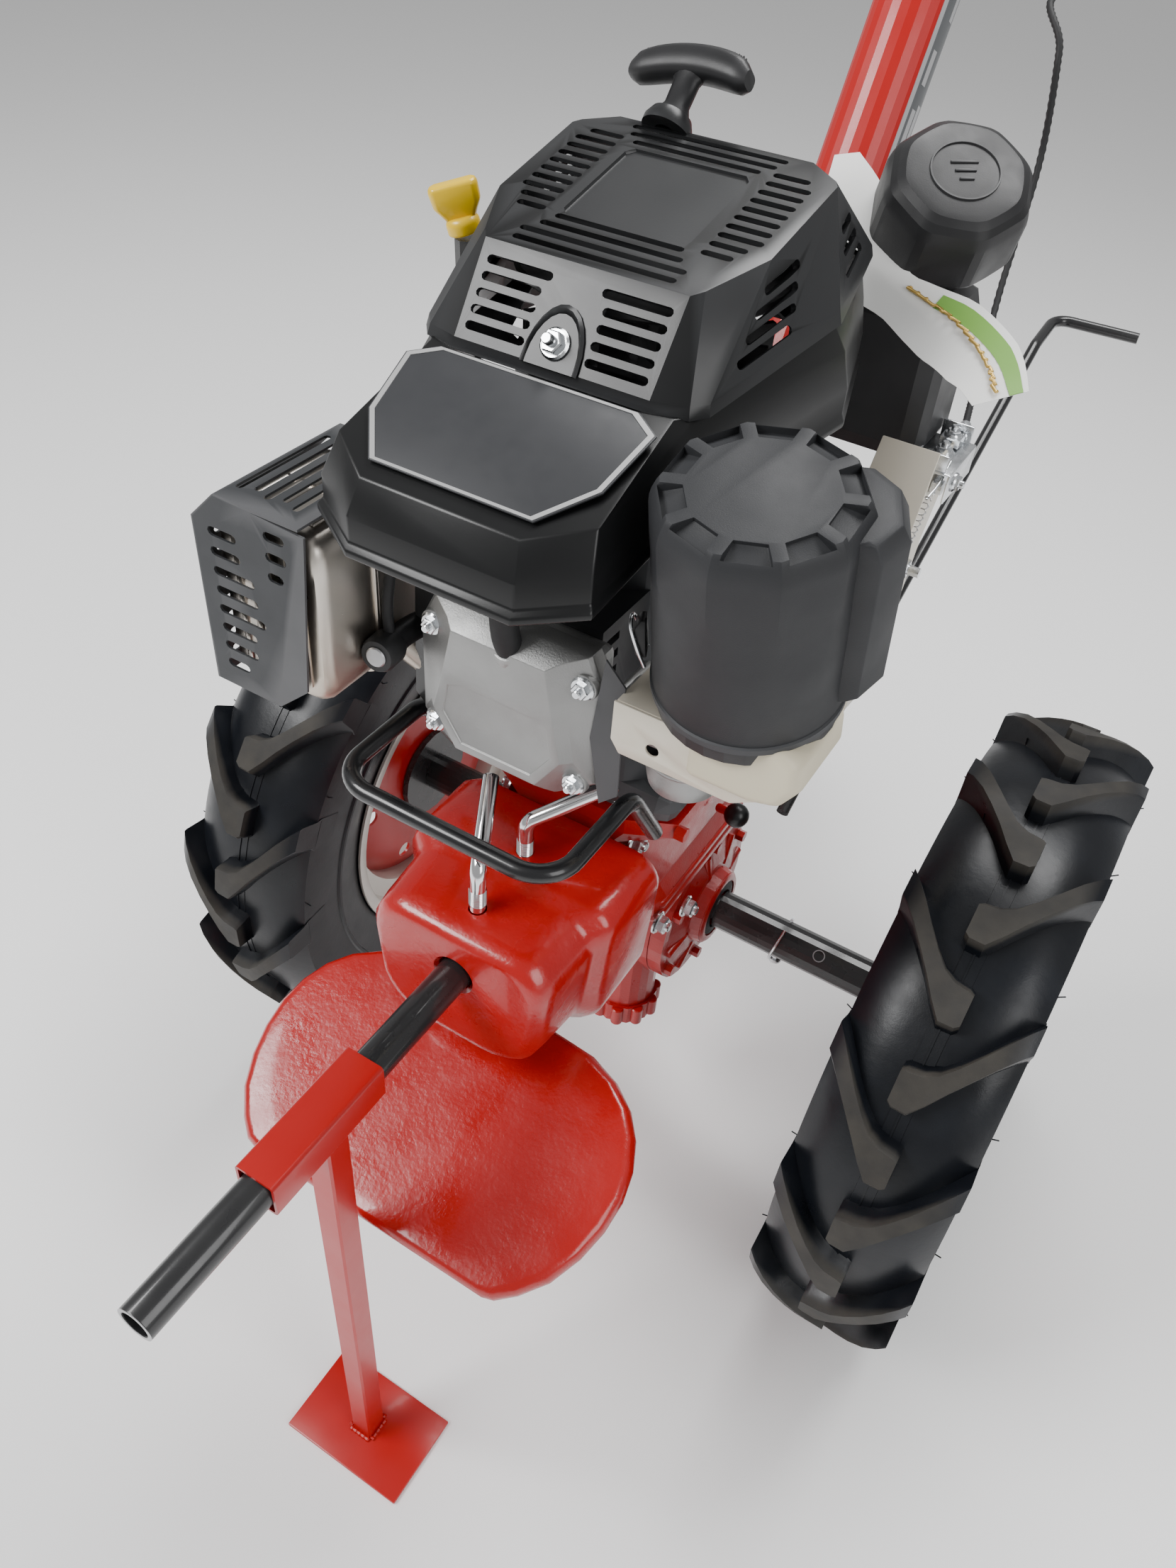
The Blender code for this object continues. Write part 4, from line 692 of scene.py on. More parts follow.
def guard():
    """The slotted fan guard: octagonal top with a sunken pad, and sloping slotted sides."""
    low = [Vector(p) for p in flip(GUARD_LOW)]
    top = [Vector(p) for p in flip(GUARD_TOP)]
    lip = [p + (p - Vector((0, FAN_Y, p.z))).normalized() * 0.0018 - Vector((0, 0, 0.0062)) for p in low]
    wall = 0.0026
    under = inset(top, wall * 1.6, -wall)
    inside = inset(low, wall * 1.2, 0.0)
    foot = inset(lip, wall * 1.6, 0.0)
    shape = bmesh.new()
    rows = [[shape.verts.new(p) for p in ring] for ring in (foot, lip, low, top, under, inside)]
    weave(shape, rows[:4])
    shape.faces.new(rows[3])
    weave(shape, [*rows[4:], rows[0]])
    shape.faces.new(list(reversed(rows[4])))
    item = new_object("guard_shell", shape)
    plane = [Vector((-0.0825, -0.229, 0.953)), Vector((0.0825, -0.229, 0.953)),
             Vector((0.0825, -0.0945, 0.9858)), Vector((-0.0825, -0.0945, 0.9858))]
    cutters = []
    for k in range(10):
        v = 0.265 + 0.0655 * k
        reach = 0.0735 if 1 < k < 9 else (0.069 if k else 0.0655)
        for side in (-1, 1):
            near = 0.5 + side * 0.047 / GUARD_WIDTH
            far = 0.5 + side * reach / GUARD_WIDTH
            cutters.append(face_slot(plane, min(near, far), max(near, far), v, 0.0046))
    for count, first, pitch, reaches, width in ((4, 0.055, 0.0625, (0.049, 0.05, 0.043, 0.039), 0.0044),
                                                (3, 0.845, 0.055, (0.04, 0.046, 0.049), 0.004)):
        for k in range(count):
            share = reaches[k] / GUARD_WIDTH
            cutters.append(face_slot(plane, 0.5 - share, 0.5 + share, first + pitch * k, width))
    cut(item, cutters)
    front = [Vector((-0.0615, -0.259, 0.9095)), Vector((0.0615, -0.259, 0.9095)),
             Vector((0.0615, -0.229, 0.953)), Vector((-0.0615, -0.229, 0.953))]
    for side in (-1, 1):
        cutters = []
        for k in range(5):
            near = 0.5 + side * (0.15 if k < 4 else 0.12)
            far = 0.5 + side * 0.455
            cutters.append(face_slot(front, min(near, far), max(near, far), 0.15 + 0.165 * k, 0.0048))
        cut(item, cutters)
        chamfer = [Vector((side * 0.088, -0.2425, 0.911)), Vector((side * 0.1075, -0.145, 0.9298)),
                   Vector((side * 0.0832, -0.13, 0.9775)), Vector((side * 0.0828, -0.185, 0.9642))]
        rear = [Vector((side * 0.1085, -0.14, 0.9305)), Vector((side * 0.0955, -0.07, 0.9445)),
                Vector((side * 0.08, -0.106, 0.983)), Vector((side * 0.0832, -0.111, 0.982))]
        for face, first, pitch, count, low_u, high_u in ((chamfer, 0.16, 0.18, 4, 0.14, 0.62),
                                                         (rear, 0.18, 0.2, 3, 0.25, 0.8)):
            if side < 0:
                face = [face[1], face[0], face[3], face[2]]
                low_u, high_u = 1 - high_u, 1 - low_u
            for k in range(count):
                cut(item, [face_slot(face, low_u, high_u, first + pitch * k, 0.0048,
                    0.0066 + 0.0002 * side)])
    pad = []
    for inset_by in (0.0, 1.0):
        ring = []
        for x, v in ((-0.04, 0.3), (-0.036, 0.265), (0.036, 0.265), (0.04, 0.3), (0.04, 0.765),
                     (0.036, 0.8), (-0.036, 0.8), (-0.04, 0.765)):
            ring.append(on_plane(plane, 0.5 + x * (1 - 0.05 * inset_by) / GUARD_WIDTH, v))
        normal = (plane[1] - plane[0]).cross(plane[3] - plane[0]).normalized()
        pad.append([p + normal * (0.004 if inset_by == 0 else -0.0016) for p in ring])
    cut(item, [skin("pad", pad)])
    place(item, "housing", "chassis", ["fan_guard"], 16, 0.0009, 2)
    # A solid dark disc over the fan: painted shade under the guard, so the slots show dark instead of the
    # floor.
    shade_disc = turned("painted_shade_disc", [(0.0, 0.0), (0.078, 0.0), (0.08, 0.002), (0.078, 0.005), (0.0, 0.006)],
                    (0, FAN_Y, 0.929), (0, 0, 1), 64)
    place(shade_disc, "grip", "crank", [], 40)
    # A thin dark ring from inside the guard's edge in to the fan: painted shade under the side slots, with
    # the disc above.
    edge = inset(flip([(x, y, 0.898) for x, y, _ in GUARD_LOW]), 0.012, 0.0)
    hub = [Vector((0, FAN_Y, p.z)) + (p - Vector((0, FAN_Y, p.z))).normalized() * 0.084 for p in edge]
    rise = Vector((0, 0, 0.002))
    shade_ring = skin("painted_shade_ring", [edge, [p + rise for p in edge], [p + rise for p in hub], hub], loop=True)
    place(shade_ring, "grip", "chassis", [], 40)
    nut_pocket()


def nut_pocket():
    """The half-round pocket in the guard's front face, with its stud and flange nut."""
    centre = Vector((0, -0.26, 0.908))
    out = Vector((0, -0.823, 0.568))
    up = Vector((0, 0.568, 0.823))
    across = up.cross(out).normalized()
    rings = []
    for lift, share in ((0.0012, 1.0), (0.003, 0.93), (0.0012, 0.84), (-0.003, 0.8)):
        ring = []
        for k in range(13):
            angle = math.pi * k / 12
            ring.append(centre + across * 0.0175 * share * math.cos(angle)
                        + up * (0.004 + 0.03 * share * math.sin(angle)) + out * lift)
        for side in (-1, 1):
            ring.append(centre + side * across * 0.0175 * share + up * 0.0005 + out * lift)
        rings.append(ring)
    place(skin("arch_front", rings), "housing", "chassis", [], 50)
    seat = centre + up * 0.0135 + out * 0.0005
    nut = merge("nut_front", [*hex_head(seat + out * 0.001, out, 0.011, 0.0065, 0.0085, False),
                              turned("stud", [(0.0, 0.0), (0.0031, 0.0), (0.0031, 0.0115),
                                              (0.0024, 0.0125), (0.0, 0.0125)], seat, out, 20)])
    place(nut, "zinc", "chassis", ["guard_nut"], 35)


def badge():
    """A plain dark plate with a silver border. It carries no lettering."""
    slope = math.atan2(0.905 - 0.875, 0.3445 - 0.266)
    turn = Matrix.Rotation(slope, 3, "X")
    normal = turn @ Vector((0, 0, 1))
    outline = [(0.061, 0.04), (0.0765, 0.0295), (0.071, -0.013), (0.0495, -0.0425), (-0.0495, -0.0425),
               (-0.071, -0.013), (-0.0765, 0.0295), (-0.061, 0.04)]
    centre = Vector((0, -0.306, 0.8905)) + normal * 0.0022
    face = slab("badge_face", outline, 0.0012, turn, centre)
    place(face, "badge", "chassis", ["badge_plate"], 30, 0.0004, 2)
    rings = []
    for share, lift in ((0.985, 0.0), (0.985, 0.0006), (0.945, 0.0006), (0.945, 0.0)):
        rings.append([centre + turn @ Vector((x * share, y * share, 0.0003 + lift)) for x, y in outline])
    border = skin("badge_border", rings, loop=True)
    place(border, "silver", "chassis", [], 30)


# ---------------------------------------------------------------- air filter and carburettor
LID = Vector((0.142, -0.297, 0.906))
LID_R = 0.0525
LID_H = 0.132
LID_TURN = Matrix.Rotation(math.radians(13), 3, "X")
LID_SIDES = 10


def on_lid(radius, angle, height):
    """A point about the filter's own leaning axis."""
    return LID + LID_TURN @ Vector((radius * math.cos(angle), radius * math.sin(angle), height))


def filter_cover():
    """The ten-sided lid that runs into a round can, with pockets between radial ribs."""
    sides = LID_SIDES
    per = 8
    count = sides * per
    levels = ((-LID_H + 0.001, 1.0, 0.0), (-0.1, 1.0, 0.0), (-0.072, 1.0, 0.02), (-0.05, 1.002, 0.35),
              (-0.036, 1.004, 1.0), (-0.015, 1.004, 1.0), (-0.011, 0.996, 1.0), (-0.007, 0.975, 1.0),
              (-0.0018, 0.93, 1.0), (0.0, 0.905, 1.0))
    rings = []
    for height, share, facet in levels:
        ring = []
        for k in range(count):
            angle = 2 * math.pi * k / count
            local = (angle + math.pi / sides) % (2 * math.pi / sides) - math.pi / sides
            flat = math.cos(math.pi / sides) / math.cos(local) * 1.026
            radius = LID_R * share * (1 + (flat - 1) * facet)
            ring.append(on_lid(radius, angle, height))
        rings.append(ring)
    body = skin("filter_lid", rings)
    cutters = []
    for k in range(sides):
        middle_angle = 2 * math.pi * (k + 0.5) / sides - math.pi / sides
        ring_low, ring_high = [], []
        for radius, spread in ((0.037, -0.215), (0.0492, -0.24), (0.0492, 0.24), (0.037, 0.215)):
            ring_low.append(on_lid(radius, middle_angle + spread, -0.002 - (radius - 0.037) * 0.36))
            ring_high.append(on_lid(radius, middle_angle + spread, 0.006))
        cutters.append(skin("pocket", [ring_low, ring_high]))
    cut(body, cutters)
    place(body, "charcoal", "filter_lid", ["filter_cover"], 24, 0.0011, 2)
    bulge = []
    for height, grow in ((-0.118, 0.9), (-0.112, 1.0), (-0.02, 1.0), (-0.01, 0.93), (-0.0085, 0.86)):
        ring = []
        for radius, angle in ((0.03, 0.95), (0.05, 1.06), (0.064, 0.95), (0.0705, 0.66), (0.07, 0.28),
                              (0.062, -0.02), (0.05, -0.1), (0.03, 0.05)):
            ring.append(on_lid(radius * (grow if radius > 0.05 else 1.0), angle, height))
        bulge.append(ring)
    place(skin("filter_lid_side", bulge), "charcoal", "filter_lid", [], 24, 0.0014, 2)
    seam = turned("filter_lid_lip", [(LID_R + 0.0012, -0.131), (LID_R + 0.0012, -0.127),
                                     (LID_R - 0.001, -0.1255), (LID_R - 0.001, -0.131)],
                  LID, LID_TURN @ Vector((0, 0, 1)), 80)
    place(seam, "charcoal", "filter_lid", [], 40)


def filter_latch():
    """The plastic catch on the can, and the wire bail in it."""
    root = on_lid(LID_R + 0.0036, math.radians(203), -0.104)
    out = (root - on_lid(0, 0, -0.104)).normalized()
    up = LID_TURN @ Vector((0, 0, 1))
    across = up.cross(out).normalized()
    rings = []
    for along, width, depth in ((-0.012, 0.005, 0.0015), (-0.009, 0.0065, 0.005), (0.002, 0.0065, 0.006),
                                (0.01, 0.0055, 0.005), (0.015, 0.004, 0.0015)):
        middle_point = root + up * along
        rings.append([middle_point - across * width - out * 0.001,
            middle_point + across * width - out * 0.001,
            middle_point + across * width + out * depth,
            middle_point - across * width + out * depth])
    catch = skin("latch_catch", rings)
    place(catch, "black_plastic", "filter_lid", [], 30, 0.001, 2)
    loop = [root - across * 0.0075 - up * 0.016, root - across * 0.008 + out * 0.003 - up * 0.004,
        root - across * 0.0055 + out * 0.0065 + up * 0.01, root + out * 0.007 + up * 0.0135,
        root + across * 0.0055 + out * 0.0065 + up * 0.01,
        root + across * 0.008 + out * 0.003 - up * 0.004, root + across * 0.0075 - up * 0.016]
    bail = pipe("latch_bail", smooth_points(loop, 6), 0.0011, 10)
    place(bail, "zinc", "lid_latch", ["filter_latch"], 60)


def carburettor():
    """The cream bracket, the beige housing behind it, and the carburettor with its bowl."""
    outline = [(-0.054, 0.0175), (-0.054, -0.01), (-0.048, -0.0185), (0.024, -0.0185), (0.052, -0.002),
               (0.054, 0.0175)]
    turn = Matrix.Rotation(math.pi / 2, 3, "X")
    face = slab("bracket_face", outline, 0.0018, turn, (0.132, -0.2985, 0.735))
    hole = pipe("hole", [(0.105, -0.32, 0.729), (0.105, -0.28, 0.729)], 0.0042, 24)
    cut(face, [hole])
    shelf = block("bracket_shelf", (0.132, -0.27, 0.752), (0.106, 0.055, 0.0018))
    place(merge("bracket_plate", [face, shelf]), "cream", "chassis", ["filter_bracket"],
        30, 0.0005)
    rings = []
    for y, grow in ((-0.308, 0.86), (-0.304, 0.96), (-0.298, 1.0), (-0.248, 1.0), (-0.242, 0.95)):
        ring = []
        for x, z in ((-0.032, 0.018), (0.022, 0.018), (0.033, 0.01), (0.035, -0.01), (0.026, -0.026),
                     (0.01, -0.031), (-0.032, -0.031)):
            ring.append((0.16 + x * grow, y, 0.756 + z * 0.9 * grow))
        rings.append(ring)
    place(skin("beige_housing", rings), "beige", "chassis", [], 30, 0.003, 3)
    body = block("carb_body", (0.12, -0.27, 0.735), (0.05, 0.04, 0.026))
    throat = pipe("throat", [(0.067, -0.262, 0.728), (0.098, -0.262, 0.728)], 0.0145, 28)
    flange = block("flange", (0.07, -0.262, 0.728), (0.005, 0.04, 0.03))
    place(merge("carb_casting", [body, throat, flange]), "cast_alu", "chassis", ["carburettor"],
          30, 0.002, 2)
    bowl = turned("carb_bowl", [(0.0, 0.0175), (0.0245, 0.0175), (0.025, 0.015), (0.0235, 0.0135),
                                (0.0235, 0.005), (0.0215, -0.004), (0.0165, -0.0075), (0.0, -0.0085)],
                  (0.115, -0.271, 0.696), (0, 0, 1), 48)
    place(bowl, "cast_alu", "chassis", [], 30, 0.0006)
    gasket = turned("carb_gasket", [(0.0, 0.0202), (0.0255, 0.0202), (0.0255, 0.0176), (0.0, 0.0176)],
                    (0.115, -0.271, 0.696), (0, 0, 1), 48)
    place(gasket, "black_plastic", "chassis", [], 40)
    drain = merge("carb_bolt", hex_head((0.115, -0.271, 0.6878), (0, 0, -1), 0.012, 0.007, 0.0085))
    place(drain, "zinc", "chassis", [], 35)


# ---------------------------------------------------------------- exhaust
def shield_face(cutters, origin, along, up, rows, lengths, width):
    """Slots on one face of the shield: rows across it, each of its own length."""
    out = along.cross(up).normalized()
    for row, (start, end) in zip(rows, lengths):
        foot = origin + up * row
        cutters.append(slot_cutter(foot + along * start, foot + along * end, out, width, 0.006))


def exhaust():
    """The ribbed muffler and the folded, slotted shield on its outer side."""
    outline = []
    for k in range(32):
        angle = 2 * math.pi * k / 32
        corner = 0.3
        x = math.copysign(abs(math.cos(angle)) ** corner, math.cos(angle))
        z = math.copysign(abs(math.sin(angle)) ** corner, math.sin(angle))
        outline.append((x, z))
    rings = []
    for y, share in ((-0.344, 0.8), (-0.343, 0.9), (-0.339, 0.97), (-0.334, 1.0), (-0.256, 1.0),
                     (-0.251, 0.97), (-0.247, 0.9), (-0.246, 0.8)):
        rings.append([Vector((-0.133 + 0.0395 * share * x, y, 0.75 + 0.0605 * share * z))
                      for x, z in outline])
    body = skin("muffler_body", rings)
    place(body, "stainless", "chassis", ["muffler"], 40)
    ribs = []
    for k in range(5):
        x = -0.108 - 0.012 * k
        ribs.append(block("rib", (x, -0.344, 0.75), (0.0045, 0.003, 0.092)))
        ribs.append(block("rib", (x, -0.296, 0.8105), (0.0045, 0.07, 0.003)))
    seam = skin("seam", [[Vector((-0.133 + 0.0415 * x, y, 0.75 + 0.0625 * z)) for x, z in outline]
                         for y in (-0.2975, -0.2945)])
    place(merge("muffler_ribs", [*ribs, seam]), "stainless", "chassis", [], 35, 0.0011, 2)
    thick = 0.0016
    x0, x1, y0, y1, z0, z1 = -0.1818, -0.099, -0.351, -0.2402, 0.6825, 0.8205
    corner = 0.02
    outer = [(x1, z1), (x0 + corner, z1), (x0, z1 - corner), (x0, z0)]
    inner = [(x0 + thick, z0), (x0 + thick, z1 - corner - 0.0006),
        (x0 + corner + 0.0006, z1 - thick), (x1, z1 - thick)]
    wrap = skin("wrap", [[Vector((x, y, z)) for x, z in [*outer, *inner]] for y in (y0, y1)])
    front = slab("front", [(x1 + 0.004, z1 - 0.004), (x0 + corner, z1), (x0, z1 - corner), (x0, z0),
        (x1 - 0.03, z0), (x1 - 0.006, z0 + 0.022)], thick, Matrix(((1, 0, 0), (0, 0, -1),
        (0, 1, 0))), (0, y0 + thick / 2, 0))
    whole = cut(wrap, [front], "UNION")
    cutters = []
    up = Vector((0, 0, 1))
    right = Vector((1, 0, 0))
    origin = Vector((x0, y0 + 0.0008, z0))
    rows = [0.018 + 0.0135 * k for k in range(8)]
    spans = [(0.012, 0.03 + 0.005 * min(k, 7 - k) + 0.004 * (k % 2)) for k in range(8)]
    shield_face(cutters, origin, right, up, rows, spans, 0.0062)
    for k, reach in enumerate((0.02, 0.026, 0.026)):
        rows_two = [0.098 + 0.0135 * k]
        shield_face(cutters, origin, right, up, rows_two, [(0.056, 0.056 + reach * 0.6)], 0.0062)
    top_origin = Vector((x0 + corner, y0, z1 - 0.0008))
    back = Vector((0, 1, 0))
    rows = [0.006 + 0.0105 * k for k in range(5)]
    shield_face(cutters, top_origin, back, right, rows, [(0.014 + 0.004 * (k % 2),
        0.094) for k in range(5)], 0.005)
    side_origin = Vector((x0 + 0.0008, y0, z0))
    rows = [0.014 + 0.0125 * k for k in range(8)]
    shield_face(cutters, side_origin, back, up, rows,
        [(0.014, 0.094 - 0.006 * (k % 2)) for k in range(8)], 0.0056)
    slope = Vector((1, 0, 1)).normalized()
    slope_origin = Vector((x0 + 0.0006, y0, z1 - corner))
    shield_face(cutters, slope_origin, back, slope, [0.014], [(0.02, 0.09)], 0.0056)
    cut(whole, cutters)
    place(whole, "shield", "chassis", ["muffler_shield"], 12)
    pipe_out = pipe("exhaust_neck", smooth_points([(-0.06, -0.262, 0.69), (-0.078, -0.262, 0.69),
                                                   (-0.096, -0.27, 0.705)], 5), 0.0125, 24)
    place(pipe_out, "stainless", "chassis", [], 50)


# ---------------------------------------------------------------- engine front
def rocker():
    """The cast rocker cover: chamfered faces, recessed panel, bolts in flats, and the breather."""
    levels = (
        (-0.2758, 1.0, ((0.055, 0.765), (0.066, 0.742), (0.0655, 0.672), (0.038, 0.651))),
        (-0.286, 1.0, ((0.055, 0.765), (0.066, 0.742), (0.0655, 0.672), (0.038, 0.651))),
        (-0.2885, 0.985, ((0.054, 0.764), (0.065, 0.741), (0.0645, 0.673), (0.0375, 0.652))),
        (-0.296, 1.0, ((0.04, 0.7585), (0.046, 0.728), (0.053, 0.69), (0.034, 0.6585))),
        (-0.302, 1.0, ((0.033, 0.754), (0.039, 0.724), (0.047, 0.69), (0.03, 0.664))),
    )
    rings = []
    for y, share, half in levels:
        rings.append([Vector((x * share, y, z)) for x, z in half]
                     + [Vector((-x * share, y, z)) for x, z in reversed(half)])
    cover = skin("cover", rings)
    panel = skin("panel", [[Vector((x, y, z)) for x, z in ((0.027, 0.716), (0.036, 0.712), (0.0395, 0.69),
                                                           (0.026, 0.67), (-0.026, 0.67), (-0.0395, 0.69),
                                                           (-0.036, 0.712), (-0.027, 0.716))]
                           for y in (-0.31, -0.3008)])
    cut(cover, [panel])
    place(cover, "cast_alu", "chassis", ["rocker_cover"], 22, 0.0022, 3)
    lands = []
    bolts = []
    for x, z in ((0.0535, 0.745), (-0.0535, 0.745), (0.052, 0.67), (-0.052, 0.67)):
        lands.append(turned("land", [(0.0, 0.0), (0.0092, 0.0), (0.0088, 0.0048), (0.0, 0.0048)],
                            (x, -0.287, z), (0, -1, 0), 32))
        bolts += hex_head((x, -0.292, z), (0, -1, 0), 0.0095, 0.0055, 0.0078)
    place(merge("rocker_lands", lands), "cast_alu", "chassis", [], 30, 0.0006)
    place(merge("rocker_bolts", bolts), "zinc", "chassis", [], 35)
    hose = smooth_points([(0.004, -0.293, 0.75), (0.004, -0.3, 0.77), (0.004, -0.301, 0.8),
                          (0.004, -0.29, 0.83)], 6)
    place(pipe("breather_hose", hose, 0.0085, 24), "grip", "chassis", [], 60)
    tower = turned("breather_boss", [(0.0, 0.0), (0.0125, 0.0), (0.0105, 0.01), (0.0, 0.01)],
                   (0.004, -0.29, 0.746), (0, -0.45, 0.9), 28)
    place(tower, "cast_alu", "chassis", [], 30, 0.0012)
    deflector = [(0.0, 0.0), (0.014, -0.014), (0.016, -0.096), (0.004, -0.108), (-0.006, -0.06)]
    turn = Matrix.Rotation(math.pi / 2, 3, "X")
    left = slab("deflector_left", deflector, 0.0014, turn, (0.066, -0.29, 0.77))
    place(left, "shield", "chassis", [], 30)
    right = slab("deflector_right", [(-x, z) for x, z in deflector], 0.0014, turn, (-0.066, -0.274, 0.765))
    place(right, "black_metal", "chassis", [], 30)


def plug():
    """The plug's moulded elbow with a round metal face, its lead, and the plug's hexagon."""
    head = turned("boot_head", [(0.0, 0.01), (0.0105, 0.01), (0.012, 0.007), (0.012, -0.006),
        (0.0095, -0.012), (0.0, -0.014)], (-0.084, -0.302, 0.7175), (0.15, -1, 0.1), 32)
    place(head, "black_plastic", "chassis", ["plug_boot"], 40)
    cap = turned("boot_face", [(0.0, 0.0116), (0.006, 0.0116), (0.0068, 0.0108), (0.0068, 0.0098),
        (0.0, 0.0098)], (-0.084, -0.302, 0.7175), (0.15, -1, 0.1), 32)
    place(cap, "steel", "chassis", [], 30)
    lead = smooth_points([(-0.066, -0.2665, 0.722), (-0.078, -0.27, 0.722), (-0.083, -0.283, 0.72),
                          (-0.0838, -0.295, 0.718)], 5)
    place(pipe("boot_arm", lead, 0.0085, 20), "black_plastic", "chassis", [], 50)
    wire = smooth_points([(-0.0845, -0.296, 0.728), (-0.085, -0.295, 0.752), (-0.082, -0.288, 0.79),
                          (-0.078, -0.27, 0.84)], 6)
    place(pipe("plug_lead", wire, 0.0036, 14), "grip", "chassis", [], 60)


def starter():
    """The recoil handle: a bowed grip with dotted pads on a short stem."""
    centre = Vector((-0.031, -0.066, 1.0135))
    along = Vector((0.98, -0.12, 0.12)).normalized()
    stem_foot = Vector((-0.031, -0.088, 0.9905))
    down = (stem_foot - centre)
    down = (down - along * down.dot(along)).normalized()
    side = along.cross(down).normalized()
    rings = []
    for k in range(17):
        share = -1 + 2 * k / 16
        spread = 0.04 * share
        bow = 0.007 * share * share
        thick = 0.0078 - 0.0012 * abs(share) ** 4
        tall = 0.0095 - 0.003 * abs(share) ** 6
        if abs(share) == 1:
            thick *= 0.72
            tall *= 0.72
        middle_point = centre + along * spread + down * bow
        ring = []
        for j in range(16):
            angle = 2 * math.pi * j / 16
            c = math.copysign(abs(math.cos(angle)) ** 0.7, math.cos(angle))
            s = math.copysign(abs(math.sin(angle)) ** 0.7, math.sin(angle))
            ring.append(middle_point + side * thick * 1.15 * c + down * tall * s)
        rings.append(ring)
    grip = skin("grip_bar", rings)
    stem = skin("stem", [[centre + down * lift + side * 0.0062 * g * c + along * 0.0085 * g2 * s
                          for c, s in ((math.cos(2 * math.pi * j / 16), math.sin(2 * math.pi * j / 16))
                                       for j in range(16))]
                         for lift, g, g2 in ((0.0, 1.1, 1.9), (0.006, 1.0, 1.45), (0.012, 1.0, 1.0),
                                             (0.026, 1.05, 0.95), (0.03, 1.35, 1.15), (0.033, 1.35, 1.15))])
    dots = []
    for bank in (-1, 1):
        for row in range(5):
            for column in range(8):
                share = bank * (0.2 + 0.085 * column)
                angle = math.radians(-128 + 19 * row)
                root = (centre + along * 0.04 * share + down * (0.007 * share * share)
                        + side * 0.0084 * math.cos(angle) + down * 0.0092 * math.sin(angle))
                out = (side * math.cos(angle) + down * math.sin(angle)).normalized()
                dots.append(pipe("dot", [root, root + out * 0.0009], 0.0, 6, [0.0008, 0.0004]))
    place(merge("starter_handle", [grip, stem, *dots]), "black_plastic", "starter", ["starter_grip"],
          45)
    collar = turned("starter_collar", [(0.0065, 0.004), (0.0125, 0.003), (0.015, -0.002), (0.015, -0.006),
                                       (0.0065, -0.006)], stem_foot + down * 0.0035, -down, 36)
    place(collar, "housing", "chassis", [], 40)


# ---------------------------------------------------------------- fuel
CAP = Vector((0.1153, 0.0146, 0.97))
CAP_AXIS = Vector((0.25, -0.45, 0.857)).normalized()
CAP_TURN = Vector((0, 0, 1)).rotation_difference(CAP_AXIS).to_matrix()


def fuel_cap():
    """The large cap: eight lobes, scalloped sides, domed face with a raised plain disc."""
    count = 96
    levels = ((-0.0475, 0.955, 0.5), (-0.046, 0.985, 0.8), (-0.044, 1.0, 1.0), (-0.017, 0.985, 1.0),
              (-0.013, 0.97, 1.0), (-0.0075, 0.93, 0.9), (-0.0035, 0.86, 0.7), (-0.0008, 0.76, 0.5),
              (0.0, 0.66, 0.3), (0.0004, 0.3, 0.0))
    rings = []
    for height, share, lobe in levels:
        ring = []
        for k in range(count):
            angle = 2 * math.pi * k / count
            local = (angle % (math.pi / 4)) - math.pi / 8
            flat = min(1.0, math.cos(math.pi / 8) / math.cos(local) * 1.03)
            radius = 0.0475 * share * (1 + (flat - 1) * lobe)
            ring.append(CAP + CAP_TURN @ Vector((radius * math.cos(angle), radius * math.sin(angle),
                height)))
        rings.append(ring)
    place(skin("filler_cap_body", rings), "black_plastic", "filler_cap", ["fuel_cap"], 16)
    ring = turned("filler_cap_ring", [(0.0205, 0.0012), (0.0215, 0.0012), (0.022, -0.001), (0.02, -0.001)],
                  CAP, CAP_AXIS, 64)
    place(ring, "black_plastic", "filler_cap", [], 40)
    bars = [block("bar", CAP + CAP_TURN @ Vector((dx, dy, 0.0004)), (0.017 - 0.004 * k, 0.0018, 0.0016),
                  CAP_TURN @ Matrix.Rotation(0.6, 3, "Z"))
            for k, (dx, dy) in enumerate(((-0.0035, 0.005), (0.0, 0.0), (0.0035, -0.005)))]
    place(merge("filler_cap_mark", bars), "black_plastic", "filler_cap", [], 40, 0.0003)
    neck = turned("filler_neck", [(0.0, 0.0), (0.0335, 0.0), (0.0335, 0.01), (0.029, 0.012), (0.029, 0.03),
                                  (0.0, 0.03)], CAP - CAP_AXIS * 0.066, CAP_AXIS, 48)
    place(neck, "black_plastic", "chassis", [], 40, 0.0008)


